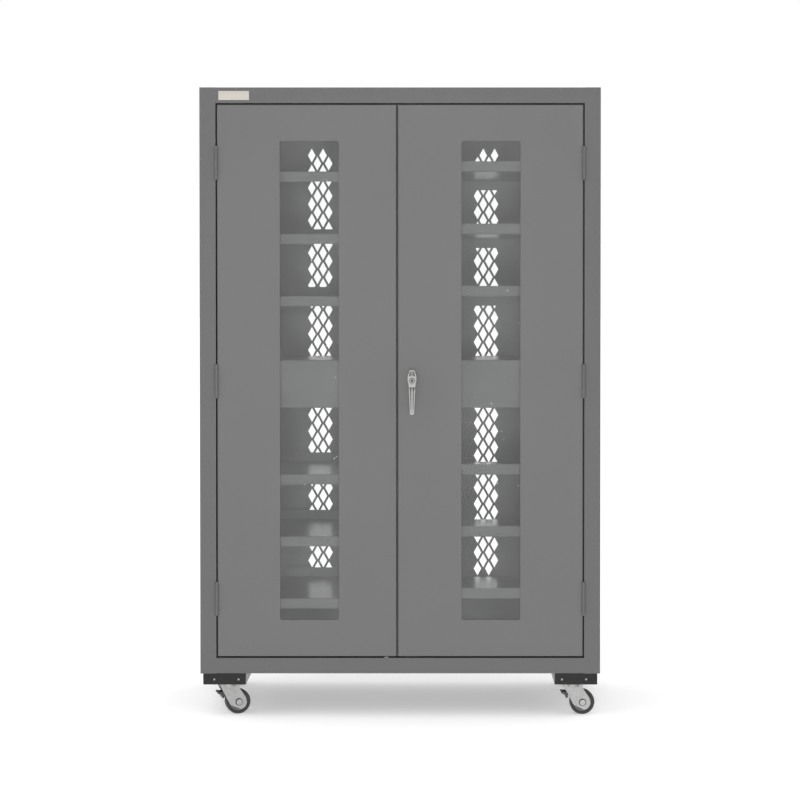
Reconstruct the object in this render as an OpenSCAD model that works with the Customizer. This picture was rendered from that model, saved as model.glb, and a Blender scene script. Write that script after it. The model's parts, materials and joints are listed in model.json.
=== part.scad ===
// Mobile charging cabinet: welded steel case on casters, two doors with long clear windows, a back panel with
// two strips of diamond vents, half-width shelves on slotted standards and a fixed power shelf on each side.
// Millimetres. X to the right, -Y to the front, Z up, floor at Z 0, origin under the middle of the footprint.

/* [Case] */
// Width over the side panels
case_w = 1219; // [1000:1:1400]
// Depth from the door faces to the back
case_d = 610; // [500:1:760]
// Height of the welded case, without the base
case_h = 1784; // [1650:1:1950]
// Height of the underside of the case over the floor
base_h = 135; // [130:1:145]
// Thickness of the case and door sheet
sheet_t = 1.9; // [1.2:0.1:2.5]
// Outer radius of the bends
bend_r = 3; // [2.6:0.1:4]
// Width of a front stile
stile_w = 49; // [40:1:70]
// Height of the header over the doors
header_h = 48; // [40:1:70]
// Height of the sill under the doors
sill_h = 48; // [40:1:70]
// How far the frame turns back beside the doors
jamb_d = 36; // [35.5:0.1:40]
// Width of the stop lip behind the doors
stop_lip = 12; // [8:0.5:18]
// Width of the rear flanges of the case
rear_flange = 25; // [15:1:40]
// Width of the lips at the bottom of the case
base_lip = 25; // [15:1:40]
// Width of the partition's front flange
partition_flange = 32; // [26:1:40]

/* [Doors] */
// Thickness of a door pan
door_d = 32; // [30:0.1:33]
// Gap round a door
door_gap = 4.5; // [4.2:0.1:6]
// Gap between the doors
meet_gap = 5; // [4:0.1:8]
// Place of the gap between the doors, from the middle
meet_x = -9; // [-12:0.5:-4]
// Width of the inner lips of a door pan
door_lip = 15; // [10:1:20]
// Corner radius of the doors and the windows
corner_r = 6; // [4:0.5:10]
// Width of the cut-out for a window
window_w = 179; // [120:1:240]
// Height of the cut-out for a window
window_h = 1457; // [1200:1:1500]
// Distance of a window from the middle of the case
window_x = 276; // [250:1:300]
// Height of the window's lower edge over the door's lower edge
window_z = 111.5; // [80:0.5:140]
// Thickness of the clear sheet
glazing_t = 3; // [2:0.1:5]
// How far the clear sheet laps the cut-out
glazing_lap = 15; // [10:1:20]
// Width of the retainer round the clear sheet
retainer_w = 22; // [18:1:30]

/* [Hinges] */
// Length of a hinge
hinge_l = 101.6; // [80:0.1:130]
// Radius of the knuckles
knuckle_r = 5.3; // [4.8:0.1:6]
// Radius of the hinge pin
hinge_pin_r = 2.5; // [2:0.1:3]
// Thickness of a hinge leaf
leaf_t = 2; // [1.6:0.1:2]
// Depth of a hinge leaf behind the door face
leaf_d = 28; // [20:1:30]
// Distance of the outer hinges from the door's ends
hinge_inset = 177; // [120:1:250]

/* [Latch] */
// Distance of the handle's pivot from the right door's free edge
handle_x = 42.9; // [40:0.1:50]
// Height of the handle's pivot over the right door's lower edge
handle_z = 842; // [780:1:900]
// How far the handle stands out from the doors
handle_reach = 42; // [38:1:50]
// Length of the handle below its pivot
lever_l = 103; // [80:1:130]
// Width of the handle's head
head_w = 27; // [24:0.5:32]
// Radius of the lock plug
plug_r = 7; // [5:0.1:8]
// Radius of the handle's shaft
shaft_r = 5; // [4:0.1:6]
// Travel of the latch rods and slide bolts
latch_travel = 18; // [14:0.5:20]
// Width of a latch rod
rod_w = 16; // [12:0.5:17]
// Thickness of a latch rod
rod_t = 4; // [3:0.1:5]
// Radius of the left door's slide bolts
bolt_r = 5; // [4:0.1:6]

/* [Shelves] */
// Gap between the shelves and the back panel
shelf_gap = 59.3; // [20:0.1:120]
// Height of a shelf's lips
shelf_lip = 31; // [20:1:40]
// Thickness of the shelf sheet
shelf_t = 1.5; // [1.2:0.1:2]
// Distance of the shelves' front lips behind the door faces
shelf_front = 45; // [44:0.5:55]
// Pitch of the slots that carry the shelves
slot_pitch = 31.75; // [25:0.25:38]
// Width of a shelf standard
standard_w = 19; // [15:0.5:25]
// Depth of a shelf standard
standard_d = 5; // [4:0.1:7]
// Height of the first shelf level over the case floor
low_level = 16.75; // [10:0.25:40]
// Height of the first shelf level over a power shelf
high_level = 37.25; // [30:0.25:50]

/* [Power shelves] */
// Height of a power shelf's deck over the underside of the case
power_z = 955; // [880:1:1000]
// Height of a power shelf's front lip
power_lip = 22; // [15:1:30]
// Height of the apron under the deck
apron_h = 147; // [120:1:160]
// Length of a power strip
strip_l = 480; // [380:1:500]
// Depth of a power strip
strip_d = 45; // [38:1:55]
// Height of a power strip
strip_h = 38; // [30:1:45]
// Number of outlets in a power strip
outlets = 8; // [4:1:8]
// Radius of the bore through a cord grommet
grommet_r = 17.5; // [12:0.5:20]

/* [Vents] */
// Width of a diamond vent
vent_w = 25; // [18:0.5:28]
// Height of a diamond vent
vent_h = 46.5; // [36:0.5:50]
// Distance between columns of diamonds
vent_dx = 18.8; // [18:0.1:24]
// Distance between diamonds in a column
vent_dz = 54; // [52:0.5:70]
// Columns in a strip of vents
vent_columns = 4; // [2:1:5]
// Height of the first vent over the case floor
vent_z = 171.5; // [120:0.5:250]

/* [Base] */
// Height of a base runner
runner_h = 34; // [32:1:40]
// Width of a base runner
runner_w = 130; // [125:1:150]
// Distance of a runner's middle from the middle of the case
runner_x = 536; // [450:1:540]
// Thickness of the runner's plate
runner_t = 2.5; // [2:0.1:3.5]
// Thickness of the black plate on a runner's end
end_plate_t = 3; // [2:0.1:4]

/* [Casters] */
// Distance of a caster's swivel axis from the runner's middle, towards the middle of the case
caster_in = 6; // [0:0.5:10]
// Distance of a swivel axis from the front or back of the case
caster_inset = 66; // [62:1:90]
// Radius of a wheel
wheel_r = 38.1; // [34:0.1:38.5]
// Width of a wheel
wheel_w = 32; // [24:1:34]
// Trail of the wheel behind the swivel axis
trail = 28; // [25:0.5:30]
// Radius of the axle bolt
axle_r = 6; // [4:0.1:7]
// Yaw of the front left, front right, back left and back right casters
caster_yaw = [18, 3, 176, -6]; // [-180:1:180]

/* [Hidden] */
// Part colours
paint = [0.46, 0.46, 0.46];
inside_paint = [0.43, 0.43, 0.43];
black = [0.13, 0.13, 0.13];
zinc = [0.72, 0.72, 0.70];
clear = [0.80, 0.84, 0.86, 0.35];
cream = [0.80, 0.78, 0.73];
tyre_black = [0.08, 0.08, 0.08];
switch_red = [0.5, 0.12, 0.1];

// Clearances
fit_c = 0.05; // radial, shaft in hole
slide_c = 0.3; // each side of a flat slide
seat_c = 0.3; // between a seated piece and its seat
curve_c = 0.35; // between curved faces that pass each other
knuckle_c = 0.4; // between knuckles along the pin

// Case planes
side_x = case_w / 2;
inner_x = side_x - sheet_t;
jamb_x = side_x - stile_w;
front_y = (handle_reach - case_d) / 2;
back_y = front_y + case_d;
back_panel_y = back_y - 3 * sheet_t;
floor_z = base_h + sill_h;
top_z = base_h + case_h;
ceiling_z = top_z - sheet_t;
header_z = top_z - header_h;
partition_y = front_y + jamb_d + 0.5;
tuck = bend_r - sheet_t; // inner radius of a bend, which a sheet inside it keeps clear of

// Door planes
door_z0 = floor_z + door_gap;
door_z1 = header_z - door_gap;
door_x = jamb_x - door_gap;
left_free_x = meet_x - meet_gap / 2;
right_free_x = meet_x + meet_gap / 2;
skin_y = front_y + sheet_t;
door_back_y = front_y + door_d;
window_z0 = door_z0 + window_z;
glazing_r = 3;

// Blank plate on the header
blank_w = 93;
blank_h = 27.5;
blank_t = 0.8;
blank_r = 1.5;
blank_x = 9 - jamb_x;
blank_drop = 11; // below the top of the case

// Hinges
axis_x = jamb_x - door_gap / 2;
axis_y = front_y - knuckle_r - curve_c;
hinge_z = [door_z0 + hinge_inset, (door_z0 + door_z1) / 2, door_z1 - hinge_inset];
pin_head_h = 1.5;
pin_head_r = hinge_pin_r + 1.1;

// Handle and latch
pivot_x = right_free_x + handle_x;
pivot_z = door_z0 + handle_z;
handle_y = front_y - handle_reach;
head_reach = 28;
head_y = front_y - head_reach;
head_top = 34; // over the pivot
head_crown = 8; // half the width of the head's top
neck_z = -17; // where the head runs into the lever
neck_w = 19.6;
lever_w = 18.4;
lever_bend_r = 50;
lever_side_r = 30;
lever_foot = 30; // height of the lever's last part, behind its tip
tip_w = 12.6;
tip_r = tip_w / 2 - 0.1;
groove_d = 1.6; // depth of the hollows in the head and the lever
groove_rib = 1.2; // half the width of the rib between them
groove_rim = 2.6;
boss_r = 11; // raised ring round the lock
boss_rise = 1.4;
plug_d = 9;
plug_rise = 2.4; // how far the plug stands out of the head
keyway_w = 2;
keyway_h = 8;
keyway_d = 4.5;
cam_angle = 45; // the cam's arms at rest and latched stand this far to each side of level
cam_r = latch_travel / (2 * sin(cam_angle));
cam_sweep = cam_r * (1 - cos(cam_angle)) / 2; // how far a cam pin moves along its slot from the middle
cam_pin_r = 3;
cam_w = 14;
cam_t = 4;
cam_y = skin_y + 8;
pin_c = 0.6; // round the cam pins in their slots
rod_y = cam_y + cam_t + 1.5;
rod_x = cam_r - cam_sweep;
pin_slot_w = 2 * (cam_sweep + cam_pin_r + pin_c);
pin_slot_h = 2 * (cam_pin_r + pin_c) + 0.2;
rod_head_w = pin_slot_w + 6.6;
rod_head_h = 20;
rod_head_r = 3;
rod_end_c = 1.5;
rod_hole_c = 2; // round the rods in the header and the sill
bolt_hole_c = 3.5; // round the bolts there
guide_w = rod_w + 12;
guide_h = 14;
guide_t = 3;
guide_at = 90; // the inner guides' distance from the pivot
guide_span = 0.75; // from an inner guide to the outer one, as a share of the rod's length
bolt_x = 31;
bolt_y = skin_y + 14;
bolt_l = 150;
knob_r = 4;
knob_l = 15;
bolt_plate_w = 32;
bolt_plate_t = 2;
bolt_plate_end = 8;
bolt_lug_w = 20;
bolt_lug_t = 12;
bolt_lug_top = 9;
bolt_lug_r = 6;
bolt_mid_x = left_free_x - bolt_x;
lug_gap = latch_travel + 2 * knob_r + 2 * seat_c;

// Shelves
bay_x0 = sheet_t / 2;
clip_t = 2;
side_play = standard_d + clip_t + seat_c;
shelf_w = inner_x - bay_x0 - 2 * side_play;
shelf_mid_x = (inner_x + bay_x0) / 2;
shelf_y = front_y + shelf_front;
shelf_d = back_panel_y - shelf_gap - shelf_y;
standard_inset = 45; // from a shelf's front and back to the standards
standard_y = [shelf_y + standard_inset, shelf_y + shelf_d - standard_inset];
deck_z = base_h + power_z;
apron_z = deck_z - apron_h;
low_bay = apron_z - floor_z;
high_bay = ceiling_z - deck_z;
low_step = floor(low_bay / slot_pitch / 3.9);
high_step = floor(high_bay / slot_pitch / 3.9);
shelf_count = 6;
slot_w = 4;
slot_h = 14;
slot_z = 8;
slot_c = 0.4;
slot_drop = shelf_lip - slot_z;
clip_w = 12;
clip_h = 18;
clip_ledge = 14;

// Power shelves
apron_set = 4; // behind the deck's lip
apron_foot = 20; // turned back along the apron's lower edge
strip_y = shelf_y + apron_set + sheet_t + 12;
strip_z = deck_z - sheet_t - strip_h;
strip_r = 4;
wall_t = 1.6;
rocker_w = 14;
rocker_l = 22;
rocker_set = 26; // from the strip's end
rocker_in = 1;
rocker_pit = 14;
outlet_w = 28;
outlet_h = 24;
outlet_r = 6;
outlet_d = 2;
outlet_end = 60; // length of the strip before its first outlet
outlet_tail = 30; // and after its last
outlet_pitch = (strip_l - outlet_end - outlet_tail) / outlets;
grommet_x = 120;
grommet_drop = 75; // below the deck
grommet_z = deck_z - grommet_drop;
grommet_neck = 4; // wall of a grommet in its hole
grommet_flange = 6;
grommet_t = 3;

// Vents
vent_top = 90; // least plain height over the vents
vent_rows = floor((ceiling_z - floor_z - vent_z - vent_top) / vent_dz - 0.5);

// Base
base_set = 2; // the runners stop this far behind the case's front and before its back
runner_z0 = base_h - runner_h;
runner_in_z = base_h - runner_t;
runner_y0 = front_y + base_set;
runner_y1 = back_y - base_set;
runner_lug_w = 18; // lugs that take the end plates' bolts
runner_lug_d = 8;
end_plate_r = 3;
end_bolt_dx = 37;
end_bolt_z = base_h - 18;
end_bolt_r = 2.5;
end_bolt_l = end_plate_t + runner_lug_d - 1;
end_head_r = 3.1;
end_head_t = 2;
pad_l = 110;
pad_t = 6;
mount_over_wheel = 31.8; // from the top of the wheels to the plates that carry the casters
mount_z = 2 * wheel_r + mount_over_wheel;
plate_t = 5;
plate_w = 67;
plate_l = 95;
plate_r = 6;
plate_bolt = [36.5, 22.5];
plate_bolt_r = 4;
plate_head_r = 7;
plate_head_t = 4;
plate_nut_t = 6.5;

// Casters
caster_x = runner_x - caster_in;
caster_y = [front_y + caster_inset, back_y - caster_inset];
crown_z1 = mount_z - plate_t - 3;
crown_z0 = crown_z1 - 13;
crown_r = 28.5;
race_r = 23;
race_t = 3;
kingpin_r = 6;
leg_t = 3;
leg_y = wheel_w / 2 + 3;
hub_r = 27;
hub_rim = 3.5; // height of the core's rim inside the tyre
hub_boss_r = 12;
hub_web = 7; // from the tyre's side to the core's web
tread_r = 1.8; // roundness of the tyre's shoulders
axle_head_t = 4;
axle_head_r = 9;
axle_nut_t = 6;
axle_nut_r = 9.5;
leg_r = 22; // from the axle to the leg's lower edge
// The leg's cut-off corner: its two ends behind the axle, and the height of the upper one over the axle
leg_cut = [28, 45, 27];
leg_cut_r = 30;
pedal_x = -12;
pedal_z = wheel_r + 28;
pedal_pin_r = 3;
pedal_r = 6;
pedal_w = 2 * leg_y - 2;
pedal_l = 25; // from the pin to the pedal's nose

$fn = 48;

CORNERS = ["front_left", "front_right", "back_left", "back_right"];
SIDES = ["left", "right"];

// Outline helpers: points of outlines with round corners, and of bent sheet
function unit(v) = v / norm(v);
function left_of(v) = [-v[1], v[0]];
function xy(p) = [p[0], p[1]];

// A corner at b between a and c, as an arc of radius b[2]
function round_corner(a, b, c, steps) =
    let (u = unit(xy(a) - xy(b)), v = unit(xy(c) - xy(b)), r = b[2])
    r <= 0 ? [xy(b)] :
    let (
        half = acos(u * v) / 2,
        reach = r / tan(half),
        mid = xy(b) + unit(u + v) * r / sin(half),
        p0 = xy(b) + u * reach - mid,
        p1 = xy(b) + v * reach - mid,
        a0 = atan2(p0[1], p0[0]),
        turn = (atan2(p1[1], p1[0]) - a0 + 540) % 360 - 180
    )
    [for (k = [0:steps]) mid + r * [cos(a0 + turn * k / steps), sin(a0 + turn * k / steps)]];

// A closed outline from [x, y, radius] corners
function rounded(p, steps = 5) =
    let (n = len(p))
    [for (i = [0:n - 1]) each round_corner(p[(i + n - 1) % n], p[i], p[(i + 1) % n], steps)];

// A rectangle with round corners
function rounded_box(x0, y0, x1, y1, r, steps = 5) =
    rounded([[x0, y0, r], [x1, y0, r], [x1, y1, r], [x0, y1, r]], steps);

// Sheet of thickness t bent along a path, which is the right-hand face of the sheet
function bent(path, t, r, steps = 4) =
    let (
        n = len(path),
        u = [for (i = [0:n - 2]) unit(path[i + 1] - path[i])],
        inner = [for (i = [0:n - 1])
            i == 0 ? path[0] + t * left_of(u[0]) :
            i == n - 1 ? path[i] + t * left_of(u[i - 1]) :
            path[i] + t * (left_of(u[i - 1]) + left_of(u[i])) / (1 + left_of(u[i - 1]) * left_of(u[i]))],
        turn = [for (i = [0:n - 1]) i == 0 || i == n - 1 ? 0 : left_of(u[i - 1]) * u[i]],
        corner = [for (i = [0:n - 1]) turn[i] == 0 ? [0, 0] : turn[i] > 0 ? [r, r - t] : [r - t, r]]
    )
    rounded(concat(
        [for (i = [0:n - 1]) [path[i][0], path[i][1], corner[i][0]]],
        [for (i = [n - 1:-1:0]) [inner[i][0], inner[i][1], corner[i][1]]]
    ), steps);

// Extrusions of an outline drawn in YZ, XZ or XY
module along_x(x0, x1) { translate([x0, 0, 0]) rotate([90, 0, 90]) linear_extrude(x1 - x0) children(); }
module along_y(y0, y1) { translate([0, y1, 0]) rotate([90, 0, 0]) linear_extrude(y1 - y0) children(); }
module along_z(z0, z1) { translate([0, 0, z0]) linear_extrude(z1 - z0) children(); }
module block(p0, p1) { translate(p0) cube(p1 - p0); }
module rod_y(x, y0, y1, z, r) { translate([x, y1, z]) rotate([90, 0, 0]) cylinder(h = y1 - y0, r = r); }
module rod_x(x0, x1, y, z, r) { translate([x0, y, z]) rotate([0, 90, 0]) cylinder(h = x1 - x0, r = r); }
module rod_z(x, y, z0, z1, r) { translate([x, y, z0]) cylinder(h = z1 - z0, r = r); }
module on_side(side) { if (side < 0) children(); else mirror([1, 0, 0]) children(); }

// Case

// The left side panel with its stile, door jamb, stop lip, rear flange and bottom lip
module side_panel() {
    wrap = [[rear_flange - side_x, back_y], [-side_x, back_y], [-side_x, front_y], [-jamb_x, front_y]];
    jamb = [[-jamb_x, front_y + jamb_d - sheet_t], [stop_lip - jamb_x, front_y + jamb_d - sheet_t]];
    color(paint) {
        along_z(base_h, top_z) polygon(bent(wrap, sheet_t, bend_r));
        along_z(floor_z, header_z) polygon(bent(concat([for (i = [1:3]) wrap[i]], jamb), sheet_t, bend_r));
        block([-inner_x - sheet_t / 2, front_y + sheet_t / 2, base_h],
            [-inner_x + base_lip + sheet_t, back_y - 2 * sheet_t, base_h + sheet_t]);
    }
}

// Room for the right door's rods and the left door's bolts in the header and the sill
module latch_holes(z0, z1) {
    for (s = [-1, 1])
        block([pivot_x + s * rod_x - rod_w / 2 - rod_hole_c, rod_y - rod_hole_c, z0],
            [pivot_x + s * rod_x + rod_w / 2 + rod_hole_c, rod_y + rod_t + rod_hole_c, z1]);
    rod_z(bolt_mid_x, bolt_y, z0, z1, bolt_r + bolt_hole_c);
}

// One end of the top or the floor, behind a stile: its sheet and rear flange, clear of the side panel's bends
module wing(path) {
    z = path[2][1];
    for (s = [0, 1]) mirror([s, 0, 0]) {
        along_x(jamb_x, inner_x - tuck) polygon(bent(path, sheet_t, bend_r));
        block([inner_x - tuck - sheet_t, path[2][0] + tuck, z - sheet_t],
            [inner_x, path[0][0] - sheet_t - tuck, z]);
    }
}

// The top sheet with the header over the doors and its stop lip
module top_panel() {
    rear_y = back_y - sheet_t;
    ends = [[rear_y, top_z - rear_flange], [rear_y, top_z], [skin_y, top_z]];
    stop_y = front_y + jamb_d - sheet_t;
    stop_x = jamb_x - stop_lip;
    middle = [ends[0], ends[1], [front_y, top_z], [front_y, header_z], [stop_y - fit_c, header_z]];
    color(paint) {
        difference() {
            along_x(-jamb_x, jamb_x) polygon(bent(middle, sheet_t, bend_r));
            latch_holes(header_z - 1, header_z + sheet_t + 1);
        }
        wing(ends);
        block([-stop_x, stop_y, header_z - stop_lip], [stop_x, stop_y + sheet_t, header_z + sheet_t]);
    }
}

// The case floor with the sill under the doors
module bottom_panel() {
    rear_y = back_y - sheet_t;
    ends = [[rear_y, base_h], [rear_y, floor_z], [skin_y, floor_z]];
    middle = [[rear_y - base_lip, base_h], ends[0], ends[1], [front_y, floor_z], [front_y, base_h],
        [front_y + base_lip, base_h]];
    color(paint) {
        difference() {
            along_x(-jamb_x, jamb_x) polygon(bent(middle, sheet_t, bend_r));
            latch_holes(floor_z - sheet_t - 1, floor_z + 1);
        }
        wing(ends);
    }
}

// One diamond as a closed loop
function diamond(x, z) =
    [[x - vent_w / 2, z], [x, z - vent_h / 2], [x + vent_w / 2, z], [x, z + vent_h / 2]];

// The centres of the diamonds of one strip: columns next to each other are half a pitch apart
function strip_centres(side) = [
    for (c = [0:vent_columns - 1], k = [0:vent_rows - 1])
        [side * window_x + (c - (vent_columns - 1) / 2) * vent_dx,
            floor_z + vent_z + vent_h / 2 + (k + ((side < 0 ? c + 1 : c) % 2) / 2) * vent_dz]
];

// The back panel with two strips of diamond vents behind the windows, and the holes for the grommets
module back_panel() {
    head_z = ceiling_z - tuck;
    outline = [[-inner_x, floor_z], [inner_x, floor_z], [inner_x, head_z], [-inner_x, head_z]];
    centres = concat(strip_centres(-1), strip_centres(1));
    points = concat(outline, [for (c = centres) each diamond(c[0], c[1])]);
    y1 = back_panel_y + sheet_t;
    color(inside_paint) difference() {
        along_y(back_panel_y, y1) polygon(points, [for (i = [0:len(centres)]) [for (k = [0:3]) 4 * i + k]]);
        for (s = [-1, 1])
            rod_y(s * grommet_x, back_panel_y - 1, y1 + 1, grommet_z, grommet_r + grommet_neck);
    }
}

// The partition between the two halves, with a flange behind the gap between the doors
module centre_partition() {
    path = [[-partition_flange, partition_y + 6], [-partition_flange, partition_y], [bay_x0, partition_y],
        [bay_x0, back_panel_y]];
    color(inside_paint) along_z(floor_z, ceiling_z) polygon(bent(path, sheet_t, bend_r));
}

// Shelves

// Height of shelf i, counted from the bottom: the same slots on both sides
function shelf_z(i) =
    i <= 3 ? floor_z + low_level + slot_pitch * (low_step * i - 1)
           : deck_z + high_level + slot_pitch * (high_step * (i - 3) - 1);

// A slotted standard along z against the plane x = 0, with its slots at the shelf levels from first_z
module standard(z0, z1, first_z) {
    slots = floor((z1 - 12 - first_z + slot_drop) / slot_pitch);
    centres = [for (k = [0:slots]) if (first_z - slot_drop + k * slot_pitch > z0 + slot_h)
        first_z - slot_drop + k * slot_pitch];
    frame = [[-standard_w / 2, z0], [standard_w / 2, z0], [standard_w / 2, z1], [-standard_w / 2, z1]];
    loops = [for (z = centres) each
        [[-slot_w / 2, z - slot_h / 2], [slot_w / 2, z - slot_h / 2], [slot_w / 2, z + slot_h / 2],
            [-slot_w / 2, z + slot_h / 2]]];
    along_x(standard_d - wall_t, standard_d)
        polygon(concat(frame, loops), [for (i = [0:len(centres)]) [for (k = [0:3]) 4 * i + k]]);
    for (s = [-1, 1])
        block([0, s * (standard_w - wall_t) / 2 - wall_t / 2, z0],
            [standard_d - wall_t / 2, s * (standard_w - wall_t) / 2 + wall_t / 2, z1]);
}

// Places of the standards of one side: x of the carrying face, and the way that the standard faces
function standard_faces(side) = [[side * inner_x, -side], [side * bay_x0, side]];

// The standards under and over the power shelves
module shelf_standards() {
    low_base = floor_z + low_level;
    high_base = deck_z + high_level;
    color(zinc) for (side = [-1, 1], f = standard_faces(side), y = standard_y)
        translate([f[0], y, 0]) mirror([f[1] < 0 ? 1 : 0, 0, 0]) {
            standard(floor_z, apron_z - 1, low_base);
            standard(deck_z, ceiling_z - 20, high_base);
        }
}

// A clip that hooks into a slot and carries a shelf's side flange on its ledge
module clip(z) {
    plate = [[standard_d, clip_h], [standard_d, -clip_t], [standard_d + clip_ledge, -clip_t]];
    hook_h = slot_h - 4;
    translate([0, 0, z - shelf_lip - fit_c]) {
        along_y(-clip_w / 2, clip_w / 2) polygon(bent(plate, clip_t, clip_t + 0.5, 2));
        block([standard_d - wall_t - clip_t, slot_c - slot_w / 2, slot_z - hook_h / 2],
            [standard_d + clip_t / 2, slot_w / 2 - slot_c, slot_z + hook_h / 2]);
    }
}

module shelf_clips() {
    color(zinc) for (side = [-1, 1], f = standard_faces(side), y = standard_y, i = [1:shelf_count])
        translate([f[0], y, 0]) mirror([f[1] < 0 ? 1 : 0, 0, 0]) clip(shelf_z(i));
}

// An open box of sheet with its mouth down
module pan(p0, p1, t, r) {
    side_profile = rounded([[p0[0], p0[2], 0], [p1[0], p0[2], 0], [p1[0], p1[2], r], [p0[0], p1[2], r]]);
    end_profile = rounded([[p0[1], p0[2], 0], [p1[1], p0[2], 0], [p1[1], p1[2], r], [p0[1], p1[2], r]]);
    difference() {
        intersection() {
            along_y(p0[1], p1[1]) polygon(side_profile);
            along_x(p0[0], p1[0]) polygon(end_profile);
        }
        block([p0[0] + t, p0[1] + t, p0[2] - 1], [p1[0] - t, p1[1] - t, p1[2] - t]);
    }
}

// A shelf: flanges down at its sides and one end, a lip up at the other end. The left shelves have the lip
// at the back, and the right shelves are the same piece turned round, with the lip in front.
module shelf(side, i) {
    z = shelf_z(i);
    x0 = side * shelf_mid_x - shelf_w / 2;
    x1 = x0 + shelf_w;
    y1 = shelf_y + shelf_d;
    notch_y = y1 - 2 * bend_r;
    lip = [[y1 - shelf_t, z + shelf_lip], [y1 - shelf_t, z], [notch_y - bend_r, z]];
    color(inside_paint) turn_round(side) {
        difference() {
            pan([x0, shelf_y, z - shelf_lip], [x1, y1, z], shelf_t, bend_r);
            block([x0 - 1, notch_y, z - shelf_lip - 1], [x1 + 1, y1 + 1, z + 1]);
        }
        along_x(x0, x1) polygon(bent(lip, shelf_t, bend_r));
    }
}

// Turns a left shelf's shape front to back for the right side
module turn_round(side) {
    if (side < 0) children();
    else translate([0, 2 * shelf_y + shelf_d, 0]) mirror([0, 1, 0]) children();
}

// The left power shelf: a deck with lips, welded between the side and the partition, and a deep apron
module power_shelf() {
    x0 = -inner_x;
    x1 = -bay_x0;
    deck = [[shelf_y + shelf_d, deck_z - power_lip], [shelf_y + shelf_d, deck_z], [shelf_y, deck_z],
        [shelf_y, deck_z - power_lip]];
    apron_y = shelf_y + apron_set;
    apron = [[apron_y, deck_z - sheet_t], [apron_y, apron_z], [apron_y + apron_foot, apron_z]];
    color(inside_paint) {
        along_x(x0, x1) polygon(bent(deck, sheet_t, bend_r));
        along_x(x0, x1) polygon(bent(apron, sheet_t, bend_r));
    }
}

// A power strip under the deck and behind the apron, with its outlets down
module power_strip() {
    x0 = -shelf_mid_x - strip_l / 2;
    rocker_x = x0 + rocker_set;
    y = strip_y + strip_d / 2;
    difference() {
        along_x(x0, x0 + strip_l)
            polygon(rounded([[strip_y, strip_z, strip_r], [strip_y + strip_d, strip_z, strip_r],
                [strip_y + strip_d, strip_z + strip_h, 0], [strip_y, strip_z + strip_h, 0]]));
        block([rocker_x - rocker_l / 2 - slide_c, y - rocker_w / 2 - slide_c, strip_z - 1],
            [rocker_x + rocker_l / 2 + slide_c, y + rocker_w / 2 + slide_c, strip_z + rocker_pit]);
        for (k = [0:outlets - 1]) {
            x = x0 + outlet_end + (k + 0.5) * outlet_pitch;
            along_z(strip_z - 1, strip_z + outlet_d) translate([x, y])
                polygon(rounded_box(-outlet_w / 2, -outlet_h / 2, outlet_w / 2, outlet_h / 2, outlet_r));
        }
    }
}

module power_strips() { color(black) for (s = [-1, 1]) on_side(s) power_strip(); }

// The rocker of a power strip, tilted one way at rest, on a pin along y
module strip_switch() {
    x = -shelf_mid_x - strip_l / 2 + rocker_set;
    y = strip_y + strip_d / 2;
    half = rocker_l / 2 - 1.2;
    face = [[-half, 2], [-half, -2.2], [0, -0.4], [half, 2.4], [half - 1, 4.5], [0, 6]];
    color(switch_red) translate([x, y, strip_z + rocker_in])
        along_y(-rocker_w / 2, rocker_w / 2) polygon(rounded([for (p = face) [p[0], p[1], 0.8]], 3));
}

module cord_grommets() {
    y0 = back_panel_y - grommet_t;
    y1 = back_panel_y + sheet_t + grommet_t;
    neck_r = grommet_r + grommet_neck;
    color(black) for (s = [-1, 1]) translate([s * grommet_x, 0, grommet_z]) difference() {
        union() {
            rod_y(0, y0, y1, 0, neck_r - fit_c);
            rod_y(0, y0, back_panel_y, 0, neck_r + grommet_flange);
            rod_y(0, back_panel_y + sheet_t, y1, 0, neck_r + grommet_flange);
        }
        rod_y(0, y0 - 1, y1 + 1, 0, grommet_r);
    }
}

// Base

// Puts children, drawn at the front of the base, at its front (0) or its back (1)
module at_end(b) { translate([0, b * (front_y + back_y), 0]) mirror([0, b, 0]) children(); }

// A channel under each side of the case, with a plate welded across it for each caster
module base_runners() {
    section = [[runner_x + runner_w / 2, runner_z0], [runner_x + runner_w / 2, base_h],
        [runner_x - runner_w / 2, base_h], [runner_x - runner_w / 2, runner_z0]];
    inside = runner_w / 2 - runner_t / 2;
    color(paint) for (s = [0, 1]) mirror([s, 0, 0]) {
        along_y(runner_y0 + end_plate_t, runner_y1 - end_plate_t)
            polygon(bent(section, runner_t, bend_r + 1));
        for (b = [0, 1], d = [-1, 1]) at_end(b) difference() {
            x = caster_x + d * end_bolt_dx;
            lug_y = runner_y0 + end_plate_t;
            block([x - runner_lug_w / 2, lug_y, end_bolt_z - runner_lug_d],
                [x + runner_lug_w / 2, lug_y + runner_lug_d, runner_in_z]);
            rod_y(x, runner_y0, lug_y + runner_lug_d + 1, end_bolt_z, end_bolt_r + fit_c);
        }
        for (y = caster_y) difference() {
            block([runner_x - inside, y - pad_l / 2, mount_z],
                [runner_x + inside, y + pad_l / 2, mount_z + pad_t]);
            for (u = [-1, 1], v = [-1, 1])
                rod_z(caster_x + u * plate_bolt[1], y + v * plate_bolt[0], mount_z - 1, mount_z + pad_t + 1,
                    plate_bolt_r + fit_c);
        }
    }
}

// The black plates over the runners' ends
module runner_end_plates() {
    x0 = runner_x - runner_w / 2;
    x1 = runner_x + runner_w / 2;
    outline = [[x0, runner_z0, end_plate_r], [x1, runner_z0, end_plate_r], [x1, base_h, 0], [x0, base_h, 0]];
    color(black) for (s = [0, 1], b = [0, 1]) mirror([s, 0, 0]) at_end(b) difference() {
        along_y(runner_y0, runner_y0 + end_plate_t) polygon(rounded(outline));
        for (d = [-1, 1])
            rod_y(caster_x + d * end_bolt_dx, runner_y0 - 1, runner_y0 + end_plate_t + 1, end_bolt_z,
                end_bolt_r + fit_c);
    }
}

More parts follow.
